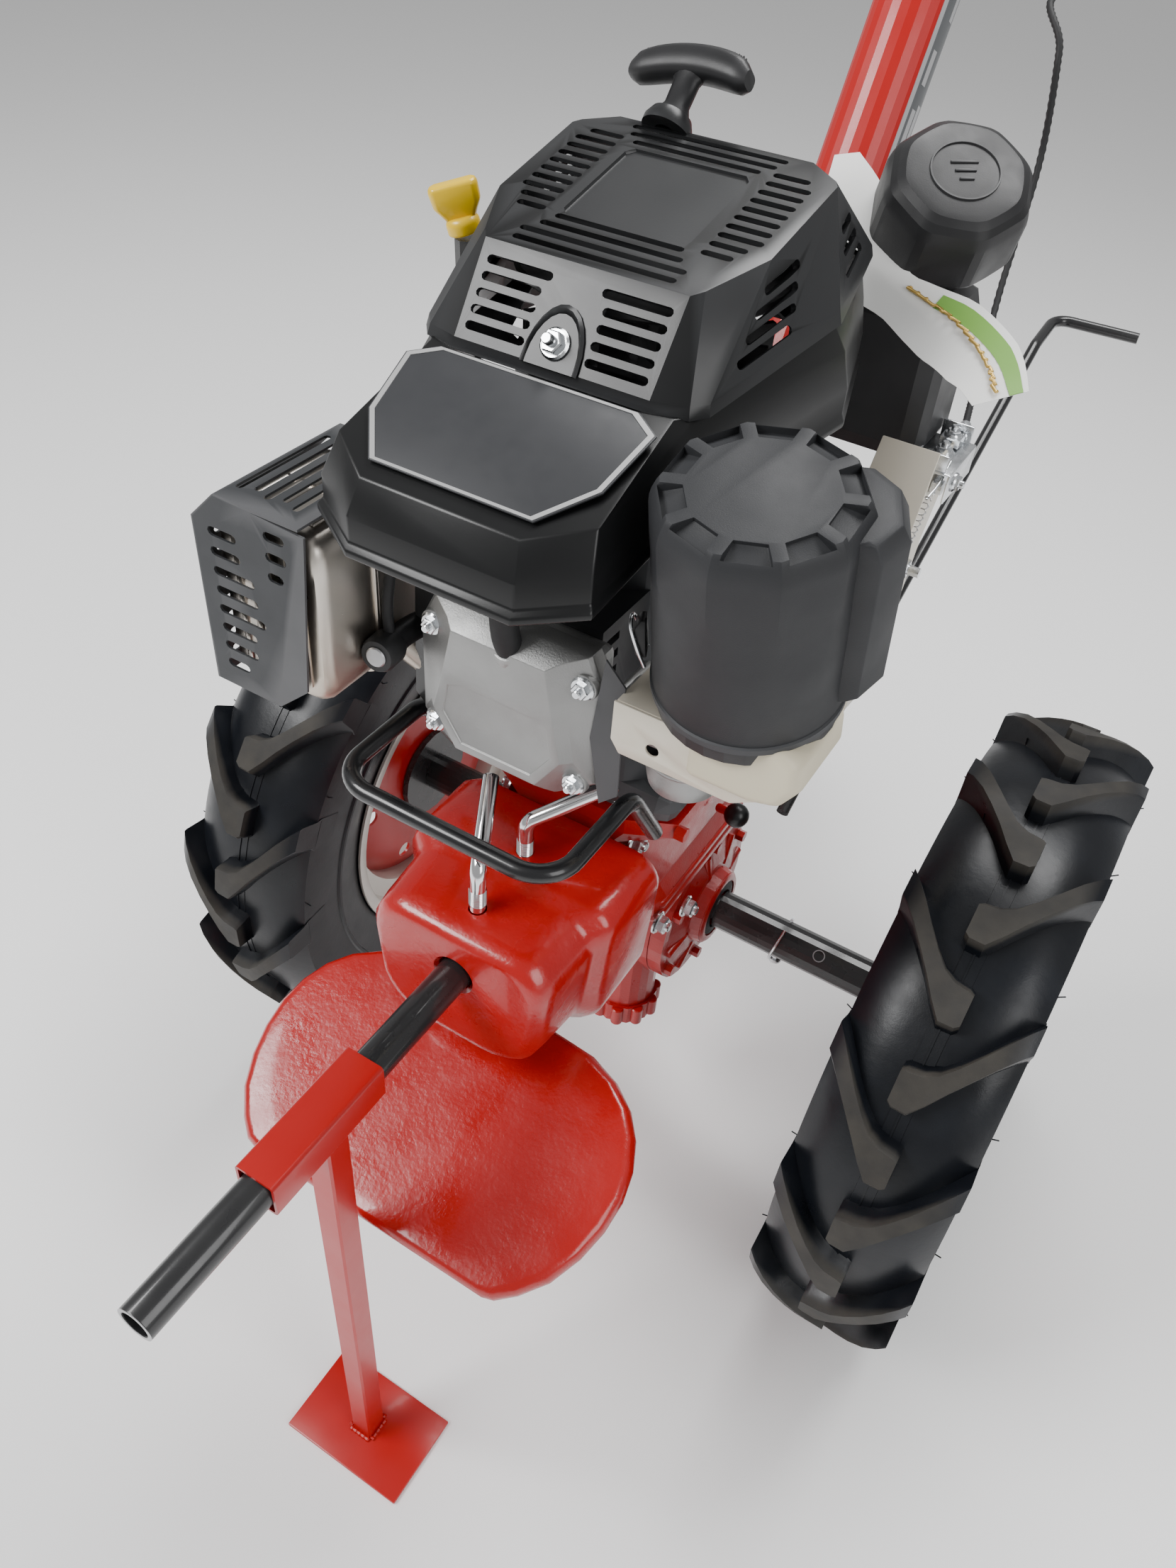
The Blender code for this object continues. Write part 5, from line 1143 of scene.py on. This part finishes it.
def hang_tag():
    """A blank card curled past the filler neck, with a green band and a twist of gold string."""
    middle_line = smooth_points([(0.029, 0.046, 0.956), (0.045, 0.024, 0.944), (0.064, -0.002, 0.924),
                                 (0.088, -0.018, 0.908), (0.118, -0.026, 0.9), (0.15, -0.036, 0.894),
                                 (0.174, -0.052, 0.888), (0.19, -0.068, 0.88)], 5)
    toward = Vector((0.33, -0.72, 0.6))
    count = len(middle_line) - 1
    edges = []
    for k, point in enumerate(middle_line):
        ahead = middle_line[min(k + 1, count)] - middle_line[max(k - 1, 0)]
        across = toward.cross(ahead).normalized()
        share = k / count
        half = 0.023 * min(1.0, 0.35 + 3.0 * share, 0.66 + 2.0 * abs(share - 0.5), 0.72 + 1.6 * (1 - share))
        edges.append((point + across * half, point - across * half,
            ahead.cross(across).normalized() * 0.00025))
    rings = [[high, low, low - lift, high - lift] for high, low, lift in edges]
    place(skin("tag_card", rings), "card", "chassis", ["hang_tag"], 60)
    rings = []
    for high, low, lift in edges[int(count * 0.62):]:
        p, q = low.lerp(high, 0.66), low.lerp(high, 0.9)
        rings.append([q + lift * 0.2, p + lift * 0.2, p + lift * 2.2, q + lift * 2.2])
    place(skin("tag_band", rings), "green", "chassis", [], 60)
    route = []
    for k in range(60):
        t = k / 59
        high, low, lift = edges[int(count * (0.52 + 0.46 * t))]
        base = high.lerp(low, 0.25 + 0.3 * t)
        route.append(base + Vector((0.0012 * math.cos(k * 1.5), 0.0012 * math.sin(k * 1.5), 0)) + lift * 6)
    place(pipe("tag_string", route, 0.001, 8), "gold", "chassis", [], 60)


def dipstick_handle():
    """The yellow pull: a flat tab with a raised rim on a round plug."""
    low = Vector((-0.1362, -0.1428, 0.9165))
    ahead = Vector((-0.035, -0.022, 0.132)).normalized()
    turn = ahead.to_track_quat("Z", "Y").to_matrix()
    plug_part = turned("dip_plug", [(0.0, 0.0), (0.0106, 0.0), (0.0106, 0.007), (0.0085, 0.01), (0.0, 0.01)],
                       low, ahead, 32)
    outline = [(-0.0085, -0.018), (-0.0035, -0.022), (0.0035, -0.022), (0.0085, -0.018), (0.0085, 0.018),
               (0.0035, 0.022), (-0.0035, 0.022), (-0.0085, 0.018)]
    rings = []
    for height, x_share, y_share in ((0.008, 0.5, 0.5), (0.012, 0.6, 0.62), (0.017, 0.72, 0.8),
                                     (0.027, 0.76, 0.84), (0.0295, 0.64, 0.77)):
        rings.append([low + turn @ Vector((x * x_share, y * y_share * 0.84, height)) for x, y in outline])
    tab = skin("dip_tab", rings)
    place(merge("dipstick_pull", [plug_part, tab]), "yellow", "oil_dipstick", ["dipstick"],
          32, 0.0016, 3)


# ---------------------------------------------------------------- column, controls and cable
LEAN = Vector((0, math.tan(math.radians(29.2)), 1)).normalized()


def column_point(z):
    """The middle of the handle column at a height."""
    return Vector((0, 0.16 + math.tan(math.radians(29.2)) * (z - 0.93), z))


def column_stripe():
    """A printed stripe down the column's left face: grey, silver and black bands, no lettering."""
    side = Vector((1, 0, 0))
    front = side.cross(LEAN).normalized()
    bands = ((0.35, 0.47, "decal_silver"), (0.47, 1.02, "decal_grey"), (1.02, 1.12, "decal_silver"))
    for k, (start, end, look) in enumerate(bands):
        rings = []
        for z in (0.76, 1.036):
            centre = column_point(z)
            outer, inner = [], []
            for j in range(9):
                angle = -start - (end - start) * j / 8 + 0.9
                out = side * math.cos(angle) + front * math.sin(angle)
                outer.append(centre + out * 0.02945)
                inner.append(centre + out * 0.0285)
            rings.append([*outer, *reversed(inner)])
        item = skin("column_stripe_" + str(k), rings)
        place(item, look, "chassis", [], 60)
    blocks = []
    for k in range(7):
        z = 0.8 + 0.034 * k
        for j, (start, end) in enumerate(((0.56, 0.72), (0.76, 0.92))):
            rings = []
            for lift in (0.0, 0.02):
                centre = column_point(z + lift + 0.004 * j)
                outer, inner = [], []
                for m in range(5):
                    angle = -start - (end - start) * m / 4 + 0.9
                    out = side * math.cos(angle) + front * math.sin(angle)
                    outer.append(centre + out * 0.0297)
                    inner.append(centre + out * 0.0286)
                rings.append([*outer, *reversed(inner)])
            if (k + j) % 3:
                blocks.append(skin("mark", rings))
    place(merge("column_marks", blocks), "decal_silver", "chassis", [], 60)


def controls():
    """The cream side plate with its bolt, and the zinc throttle bracket, link and spring."""
    outline = [(-0.09, -0.075), (0.005, -0.09), (0.04, 0.02), (0.06, 0.05), (0.06, 0.085),
               (-0.005, 0.085), (-0.05, 0.01)]
    turn = Matrix(((0, 0, 1), (1, 0, 0), (0, 1, 0)))
    face = slab("side_plate", outline, 0.002, turn, (0.15, -0.03, 0.715))
    place(face, "cream", "chassis", ["control_plate"], 30, 0.0007)
    corners = [Vector(p) for p in ((0.1575, -0.033, 0.82), (0.118, -0.033, 0.82), (0.104, -0.096, 0.648),
                                   (0.156, -0.099, 0.648))]
    depth = Vector((0.0, 0.0018, -0.0006))
    flange = skin("side_plate_flange", [corners, [p + depth for p in corners]])
    place(flange, "cream", "chassis", [], 30, 0.0006)
    bolt = merge("side_plate_bolt", [*hex_head((0.151, -0.028, 0.73), (1, 0, 0), 0.012, 0.006,
        0.0095), turned("stud", [(0.0, 0.0), (0.0035, 0.0), (0.0035, 0.014), (0.0, 0.014)],
        (0.151, -0.028, 0.73), (1, 0, 0), 20)])
    place(bolt, "zinc", "chassis", [], 35)
    bracket = [block("plate", (0.1475, 0.018, 0.795), (0.03, 0.056, 0.0018)),
               block("wall", (0.162, 0.018, 0.785), (0.0018, 0.056, 0.021)),
               block("ear", (0.1475, 0.044, 0.801), (0.022, 0.002, 0.015)),
               block("ear", (0.1475, -0.008, 0.801), (0.022, 0.002, 0.013))]
    place(merge("throttle_bracket", bracket), "zinc", "chassis", [], 35, 0.0006)
    clamp = [*hex_head((0.1475, 0.02, 0.7965), (0, 0, 1), 0.009, 0.0045, 0.0068),
             *hex_head((0.1475, 0.034, 0.803), (0, 0, 1), 0.008, 0.0045, 0.006),
             block("saddle", (0.1475, 0.034, 0.8), (0.014, 0.012, 0.006)),
             *hex_head((0.1632, 0.005, 0.785), (1, 0, 0), 0.009, 0.0045, 0.0068)]
    place(merge("throttle_fasteners", clamp), "zinc", "chassis", [], 35)
    coil = []
    for k in range(100):
        t = k / 99
        centre = Vector((0.156, -0.03, 0.785)).lerp(Vector((0.156, -0.072, 0.742)), t)
        coil.append(centre + Vector((0.0034 * math.cos(k * 0.9), 0.0024 * math.sin(k * 0.9),
                                     0.0024 * math.sin(k * 0.9))))
    place(pipe("governor_spring", coil, 0.00055, 7), "steel", "chassis", [], 60)
    link = smooth_points([(0.156, -0.03, 0.785), (0.1575, -0.012, 0.79), (0.157, 0.006, 0.798)], 5)
    place(pipe("throttle_link", link, 0.001, 8), "zinc", "chassis", [], 60)


CABLE = ((0.244, 0.668, 1.018), (0.22, 0.56, 1.02), (0.16, 0.42, 1.033),
         (0.084, 0.271, 1.028), (0.103, 0.227, 1.0), (0.112, 0.225, 0.93),
         (0.12, 0.18, 0.855), (0.138, 0.105, 0.808), (0.151, 0.048, 0.8))


def cable():
    """The throttle cable in its ribbed sleeve, held at both ends."""
    route = smooth_points(CABLE, 26)
    radii = [0.0027 if k % 2 else 0.0022 for k in range(len(route))]
    place(pipe("cable_sleeve", route, 0.0025, 12, radii), "grip", "chassis", ["throttle_cable"],
          50)
    ahead = (route[-1] - route[-2]).normalized()
    ferrule = turned("cable_ferrule", [(0.0, 0.0), (0.0042, 0.0), (0.0042, 0.014), (0.003, 0.017),
                                       (0.0, 0.017)], route[-1] - ahead * 0.01, ahead, 20)
    place(ferrule, "zinc", "chassis", [], 40)


# ---------------------------------------------------------------- front weight, bar and stand
BAR_Z = 0.503              # the height of the sliding bar's middle
SCREWS_Y = (-0.319, -0.261)  # the two clamp screws, front and rear
LEG_Y = -0.483             # the stand's leg


def rounded_box_ring(y, half, low, high, corner, steps=6, lobe=0.0):
    """An upright section with rounded corners and a fuller lower half."""
    ring = []
    middle_z = (low + high) / 2
    for cx, cz, start in ((1, 1, 0), (-1, 1, 90), (-1, -1, 180), (1, -1, 270)):
        size = corner if cz > 0 else corner * (1.0 + lobe)
        width = half if cz > 0 else half * (1.0 - 0.12 * lobe)
        for k in range(steps + 1):
            angle = math.radians(start + 90 * k / steps)
            x = cx * (width - size) + size * math.cos(angle)
            z = middle_z + cz * ((high - low) / 2 - size) + size * math.sin(angle)
            ring.append(Vector((x, y, z)))
    return ring


def weight_block():
    """The hammered casting: a rounded front part, a wider rear part, its bore and side bolts."""
    sections = ((-0.348, 0.062, 0.44, 0.534, 0.026, 0.45), (-0.347, 0.067, 0.434, 0.538, 0.028, 0.45),
                (-0.342, 0.072, 0.428, 0.543, 0.03, 0.45), (-0.33, 0.0735, 0.426, 0.545, 0.03, 0.45),
                (-0.295, 0.0755, 0.425, 0.548, 0.029, 0.45), (-0.289, 0.0775, 0.425, 0.549, 0.028, 0.45),
                (-0.283, 0.0845, 0.424, 0.5515, 0.024, 0.5), (-0.276, 0.0865, 0.424, 0.553, 0.022, 0.4),
                (-0.22, 0.088, 0.43, 0.553, 0.022, 0.4), (-0.212, 0.085, 0.434, 0.55, 0.022, 0.4))
    rings = [rounded_box_ring(y, half, low, high, corner, 6, lobe)
             for y, half, low, high, corner, lobe in sections]
    body = skin("block", rings)
    bore = pipe("bore", [(0, -0.4, BAR_Z), (0, -0.18, BAR_Z)], 0.0142, 40)
    chamfer = turned("chamfer", [(0.0, 0.0), (0.017, 0.0), (0.0135, -0.004), (0.0, -0.004)],
                     (0, -0.3484, BAR_Z), (0, -1, 0), 40)
    holes = [pipe("hole", [(0, y, 0.52), (0, y, 0.58)], 0.0066, 24) for y in SCREWS_Y]
    cut(body, [bore])
    cut(body, [chamfer])
    cut(body, holes)
    place(body, "red_cast", "chassis", ["weight_block"], 40)
    bolts = []
    for y, z in ((-0.194, 0.538), (-0.192, 0.505)):
        bolts += hex_head((0.053, y, z), (1, 0, 0), 0.013, 0.008, 0.011)
        bolts += hex_head((-0.053, y, z), (-1, 0, 0), 0.013, 0.008, 0.011)
    place(merge("block_bolts", bolts), "zinc", "chassis", [], 35)


def weight_plate():
    """The tilted cast plate: a straight front edge, bulging sides, all edges well rounded."""
    right = [(0.104, 0.0), (0.113, 0.0025), (0.126, 0.0135), (0.141, 0.032), (0.1515, 0.056), (0.157, 0.08),
             (0.1582, 0.104), (0.154, 0.126), (0.145, 0.146), (0.131, 0.163), (0.112, 0.176),
             (0.086, 0.185), (0.05, 0.1875)]
    outline = [*right, *[(-x, y) for x, y in reversed(right)]]
    middle_point = Vector((0, 0.094))
    turn = Matrix.Rotation(math.radians(20), 3, "X")
    base = Vector((0, -0.463, 0.3455))
    rings = []
    radius = 0.0088
    for k in range(13):
        angle = math.pi * k / 12
        pull = radius * (1 - math.sin(angle))
        height = -0.01 - 0.01 * math.cos(angle)
        ring = []
        for x, y in outline:
            out = Vector((x, y)) - middle_point
            size = out.length
            point = middle_point + out * ((size - pull) / size)
            ring.append(base + turn @ Vector((point.x, point.y, height)))
        rings.append(ring)
    for share, dip in ((0.8, 0.0003), (0.5, 0.0006), (0.2, 0.0007)):
        ring = []
        for x, y in outline:
            out = (Vector((x, y)) - middle_point) * share
            point = middle_point + out
            ring.append(base + turn @ Vector((point.x, point.y, dip)))
        rings.append(ring)
    item = skin("cast_plate", rings)
    place(item, "red_cast", "chassis", ["weight_plate"], 55)


def stand():
    """The square sleeve with rounded corners, the welded leg and its foot."""
    outer = rounded_box_ring(0, 0.015, 0.488, 0.518, 0.003, 4)
    inner = rounded_box_ring(0, 0.0129, 0.4901, 0.5159, 0.0015, 4)
    y0, y1 = -0.543, -0.442
    rings = [[p + Vector((0, y0, 0)) for p in outer], [p + Vector((0, y1, 0)) for p in outer],
             [p + Vector((0, y1, 0)) for p in inner], [p + Vector((0, y0, 0)) for p in inner]]
    sleeve = skin("sleeve", rings, loop=True)
    leg_ring = [(-0.01, -0.0085), (-0.0085, -0.01), (0.0085, -0.01), (0.01, -0.0085), (0.01, 0.0085),
                (0.0085, 0.01), (-0.0085, 0.01), (-0.01, 0.0085)]
    leg = skin("leg", [[Vector((x, LEG_Y + y, z)) for x, y in leg_ring] for z in (0.0035, 0.489)])
    pieces = [sleeve, leg]
    for x, y, dx, dy in ((0, -0.0115, 0.01, 0), (0, 0.0115, 0.01, 0), (-0.0115, 0, 0, 0.01),
            (0.0115, 0, 0, 0.01)):
        route, radii = [], []
        for k in range(15):
            t = -1 + 2 * k / 14
            route.append(Vector((x + dx * t, LEG_Y + y + dy * t, 0.0048)))
            radii.append(0.0021 + 0.0004 * math.sin(k * 2.1))
        pieces.append(pipe("weld", route, 0.002, 8, radii))
        pieces.append(pipe("weld_top", [p + Vector((0, 0, 0.4828)) for p in route], 0.002, 8, radii))
    place(merge("stand_frame", pieces), "red", "prop_stand", ["stand"], 35)
    foot = block("stand_foot", (0, LEG_Y, 0.0021), (0.119, 0.079, 0.004))
    place(foot, "red", "prop_stand", [], 35, 0.0011, 2)


def bar():
    """The sliding bar: an enamelled tube with an open, chamfered front end."""
    y0, y1 = -0.637, -0.235
    profile = [(0.0122, 0.0), (0.0125, 0.0006), (0.0125, y1 - y0 - 0.0006), (0.0122, y1 - y0),
               (0.0, y1 - y0), (0.0, 0.02), (0.0098, 0.02), (0.0098, 0.0004), (0.0102, 0.0)]
    item = turned("front_bar_tube", profile, (0, y0, BAR_Z), (0, 1, 0), 48)
    place(item, "black_metal", "front_bar", ["weight_bar"], 35)
    tip = turned("front_bar_end", [(0.0125, 0.0), (0.0125, -0.0003), (0.0099, -0.0003), (0.0099, 0.0)],
                 (0, y0, BAR_Z), (0, 1, 0), 48)
    place(tip, "steel", "front_bar", [], 35)


def clamp_screw(word, y, heading):
    """A bright L-handled screw with a dog point and a few threads above the block."""
    rise = math.radians(27)
    ahead = Vector((math.cos(heading) * math.cos(rise), math.sin(heading) * math.cos(rise), math.sin(rise)))
    bend = Vector((0, y, 0.582))
    route = bent([Vector((0, y, 0.5165)), bend, bend + ahead * 0.068], 0.012, 8)
    body = pipe("screw", route, 0.0058, 24)
    cap = turned("end", [(0.0, -0.002), (0.0058, -0.002), (0.0058, 0.0), (0.005, 0.001), (0.0, 0.001)],
                 route[-1], ahead, 24)
    threads = []
    for k in range(9):
        z = 0.552 + 0.0016 * k
        threads.append(turned("thread", [(0.0, 0.0005), (0.0059, 0.0005), (0.0063, 0.0), (0.0059, -0.0005),
                                         (0.0, -0.0005)], (0, y, z), (0, 0, 1), 24))
    place(merge("clamp_" + word, [body, cap, *threads]), "chrome", word + "_clamp", ["clamp_screw_" + word],
          45)


def guard_bar():
    """The round bar bent round the engine's front."""
    route = bent([(-0.081, -0.225, 0.59), (-0.081, -0.268, 0.655), (-0.081, -0.36, 0.655),
                  (0.081, -0.36, 0.655), (0.081, -0.268, 0.655), (0.081, -0.225, 0.59)], 0.026, 10)
    place(pipe("front_guard", route, 0.0062, 24), "black_metal", "chassis", ["guard_bar"], 60)


# ---------------------------------------------------------------- gearbox and frame
def gearbox():
    """The red castings: ribs, flanges and bolts, with bright and painted fasteners."""
    for node in ("gearbox_case", "gearbox_cover", "transfer_case"):
        round_edges(NODES[node], 0.0022, 2, 35)
    flange = [(-0.056, -0.136), (0.046, -0.136), (0.057, -0.124), (0.057, 0.028), (0.048, 0.037),
              (-0.048, 0.037), (-0.057, 0.028), (-0.057, -0.124)]
    plates = [slab("flange", flange, thick, centre=(0, 0, z)) for thick,
        z in ((0.011, 0.3922), (0.01, 0.405))]
    place(merge("gearbox_flange", plates), "red_rough", "chassis", [], 30, 0.003, 3)
    red_bolts = []
    zinc_bolts = []
    for x in (0.046, -0.046):
        for y in (-0.112, -0.05, 0.018):
            red_bolts += hex_head((x, y, 0.41), (0, 0, 1), 0.013, 0.007, 0.01, False)
    for k in range(10):
        angle = 2 * math.pi * k / 10
        red_bolts.append(turned("scallop", [(0.0, 0.0), (0.0062, 0.0), (0.0062, 0.0195), (0.005, 0.0205),
                                            (0.0, 0.0205)],
                                (0.0315 * math.cos(angle), -0.058 + 0.0315 * math.sin(angle), 0.167),
                                (0, 0, 1), 16))
    place(merge("gearbox_bolts", red_bolts), "red_rough", "chassis", [], 35)
    for y, z in ((-0.135, 0.394), (-0.076, 0.36)):
        zinc_bolts += hex_head((0.057, y, z), (1, 0, 0), 0.014, 0.009, 0.0105)
    place(merge("case_bolts", zinc_bolts), "zinc", "chassis", [], 35)
    seals = [turned("hub_seal", [(0.0285, 0.0), (0.0285, 0.0022), (0.0245, 0.003), (0.0205, 0.003),
        (0.0205, 0.0)], (side * 0.0606, 0, WHEEL_R), (side, 0, 0), 48) for side in (1, -1)]
    place(merge("hub_seals", seals), "grip", "chassis", [], 40)
    collar = []
    for side in (-1, 1):
        collar.append(turned("collar", [(0.03, 0.0), (0.037, 0.0), (0.037, 0.003), (0.035, 0.0046),
                                        (0.03, 0.0046)], (side * 0.059, 0, WHEEL_R), (side, 0, 0), 48))
    place(merge("hub_collars", collar), "red_rough", "chassis", [], 40)
    ribs = []
    for k in range(8):
        angle = math.radians(10 + 45 * k)
        inner_point = Vector((0.048, 0.042 * math.cos(angle), WHEEL_R + 0.042 * math.sin(angle)))
        outer_point = Vector((0.0455, 0.072 * math.cos(angle), WHEEL_R + 0.072 * math.sin(angle)))
        ribs.append(pipe("rib", [inner_point, outer_point], 0.0045, 10))
    place(merge("cover_ribs", ribs), "red_rough", "chassis", [], 50)


def axle_details():
    """The ring clips, the rims of the spare holes, and the one rubber boot."""
    for word, side in (("left", 1), ("right", -1)):
        clip = side * 0.13
        loop = []
        for k in range(31):
            angle = math.radians(20 + 320 * k / 30)
            loop.append(Vector((clip + 0.004 * side * math.cos(angle), 0.0215 * math.sin(angle) * 1.05,
                                WHEEL_R + 0.0215 * math.cos(angle))))
        wire = pipe("wire", loop, 0.0016, 10)
        head = pipe("pin", [(clip, -0.002, WHEEL_R - 0.0185), (clip, -0.002, WHEEL_R - 0.03)], 0.0045, 20)
        knob = turned("knob", [(0.0, 0.0), (0.006, 0.0), (0.006, 0.004), (0.005, 0.0052), (0.0, 0.0052)],
                      (clip, -0.002, WHEEL_R - 0.0255), (0, 0, -1), 20)
        place(merge("ring_clip_" + word, [wire, head, knob]), "zinc", "axle_set",
            ["axle_pin_" + word], 45)
        hole = turned("spare_hole_" + word, [(0.0048, 0.0), (0.0058, 0.0), (0.0058, 0.0005),
            (0.0048, 0.0005)], (side * 0.172, -0.0122, WHEEL_R + 0.0144), (0, -0.65, 0.76), 24)
        place(hole, "steel", "axle_set", [], 40)
        if side < 0:
            boot = []
            for k in range(33):
                share = k / 32
                boot.append((0.0225 + 0.0026 * math.cos(share * 2 * math.pi * 5), 0.03 * share))
            boot = [*boot, (0.0195, 0.03), (0.0195, 0.0)]
            sleeve = turned("axle_boot", boot, (side * 0.064, 0, WHEEL_R), (side, 0, 0), 40)
            place(sleeve, "grip", "axle_set", [], 50)


def knob():
    """The short selector with its moulded ball."""
    centre = Vector((0.084, -0.067, 0.482))
    ball = []
    for k in range(17):
        angle = math.pi * k / 16
        ball.append((0.0106 * math.sin(angle), -0.0106 * math.cos(angle)))
    item = turned("selector_ball", ball, centre, (0.8165, -0.4082, 0.4082), 32, False)
    place(item, "housing", "selector_knob", [], 60)


def frame_links():
    """The zinc strip and dark clamp plates between the gearbox and the weight block."""
    strip = block("under_strip", (0.038, -0.176, 0.398), (0.022, 0.11, 0.005),
                  Matrix.Rotation(math.radians(8), 3, "X"))
    place(strip, "zinc", "chassis", [], 35, 0.0008)
    clamp = [block("clamp", (0.0, -0.17, 0.412), (0.086, 0.082, 0.022)),
             block("clamp", (0.0, -0.176, 0.436), (0.07, 0.07, 0.026))]
    place(merge("under_clamp", clamp), "black_metal", "chassis", [], 35, 0.003, 2)
    bolts = []
    for y, z in ((-0.148, 0.412), (-0.19, 0.412)):
        bolts += hex_head((0.043, y, z), (1, 0, 0), 0.013, 0.008, 0.0105)
    place(merge("under_bolts", bolts), "zinc", "chassis", [], 35)


# ---------------------------------------------------------------- handlebar, grips and levers
def handles():
    """The ribbed grips on the bent handlebar tube, and the selector rod."""
    for word, side in (("left", 1), ("right", -1)):
        tip = Vector((side * 0.27, 0.863, 1.03))
        start = Vector((side * 0.25, 0.64, 1.055))
        near = start.lerp(tip, 0.43)
        ahead = (tip - near).normalized()
        length = (tip - near).length
        profile = [(0.0, 0.0), (0.0155, 0.0), (0.0165, 0.0015), (0.0165, 0.0055), (0.015, 0.0068)]
        count = 16
        for k in range(count):
            low = 0.01 + (length - 0.022) * k / count
            step = (length - 0.022) / count
            profile += [(0.015, low), (0.0162, low + step * 0.25), (0.0162, low + step * 0.72),
                        (0.015, low + step * 0.92)]
        profile += [(0.015, length - 0.011), (0.0164, length - 0.009), (0.0164, length - 0.002),
                    (0.015, length), (0.0, length)]
        grip = turned("grip_sleeve_" + word, profile, near, ahead, 40)
        place(grip, "grip", "chassis", ["grip_" + word], 40)
    route = bent([(0.105, -0.01, 0.452), (0.1, 0.17, 0.533), (0.1, 0.51, 0.698),
                  (0.1, 0.575, 0.705), (0.185, 0.58, 0.705)], 0.018, 8)
    place(pipe("selector_rod", route, 0.0055, 20), "black_metal", "selector_rod", ["shift_rod"],
          60)


DRESS = {
    "red": ("handle_column", "gear_knob"),
    "red_rough": ("gearbox_case", "gearbox_cover", "transfer_case"),
    "black_metal": ("axle_hub_left", "axle_hub_right", "handlebar", "dipstick_tube"),
    "black_plastic": ("fuel_tank", "filter_base", "clutch_lever", "throttle_lever", "flywheel_fan"),
    "shield": ("engine_block",),
    "cast_alu": ("cylinder_head",),
    "steel": ("axle_shaft", "axle_bearing_left", "axle_bearing_right", "crankshaft", "input_shaft",
              "worm_shaft", "spark_plug"),
    "zinc": ("throttle_arm",),
    "bronze": ("worm_wheel",),
    "paper": ("filter_element",),
}
SOFTEN = {"handle_column": 0.003, "fuel_tank": 0.012, "cylinder_head": 0.0022, "engine_block": 0.0015,
          "gearbox_case": 0.0025, "gearbox_cover": 0.0025, "transfer_case": 0.0045, "axle_hub_left": 0.0012,
          "axle_hub_right": 0.0012, "clutch_lever": 0.001, "throttle_lever": 0.001, "filter_base": 0.0015}


def dress():
    """Materials and rounded edges on every CAD node still shown."""
    for look, names in DRESS.items():
        for name in names:
            item = NODES[name]
            item.data.materials.clear()
            item.data.materials.append(LOOKS[look])
            if name in SOFTEN:
                round_edges(item, SOFTEN[name], 3, 35)


# ---------------------------------------------------------------- build
camera()
studio()
for one, where, outward in (("left", WHEEL_X, 1), ("right", -WHEEL_X, -1)):
    tyre(one, where)
    wheel(one, where, outward)
blower()
guard()
badge()
filter_cover()
filter_latch()
carburettor()
exhaust()
rocker()
plug()
starter()
fuel_cap()
hang_tag()
dipstick_handle()
column_stripe()
controls()
cable()
weight_block()
weight_plate()
stand()
bar()
clamp_screw("front", SCREWS_Y[0], math.radians(117))
clamp_screw("rear", SCREWS_Y[1], math.radians(41))
guard_bar()
gearbox()
axle_details()
knob()
frame_links()
handles()
dress()
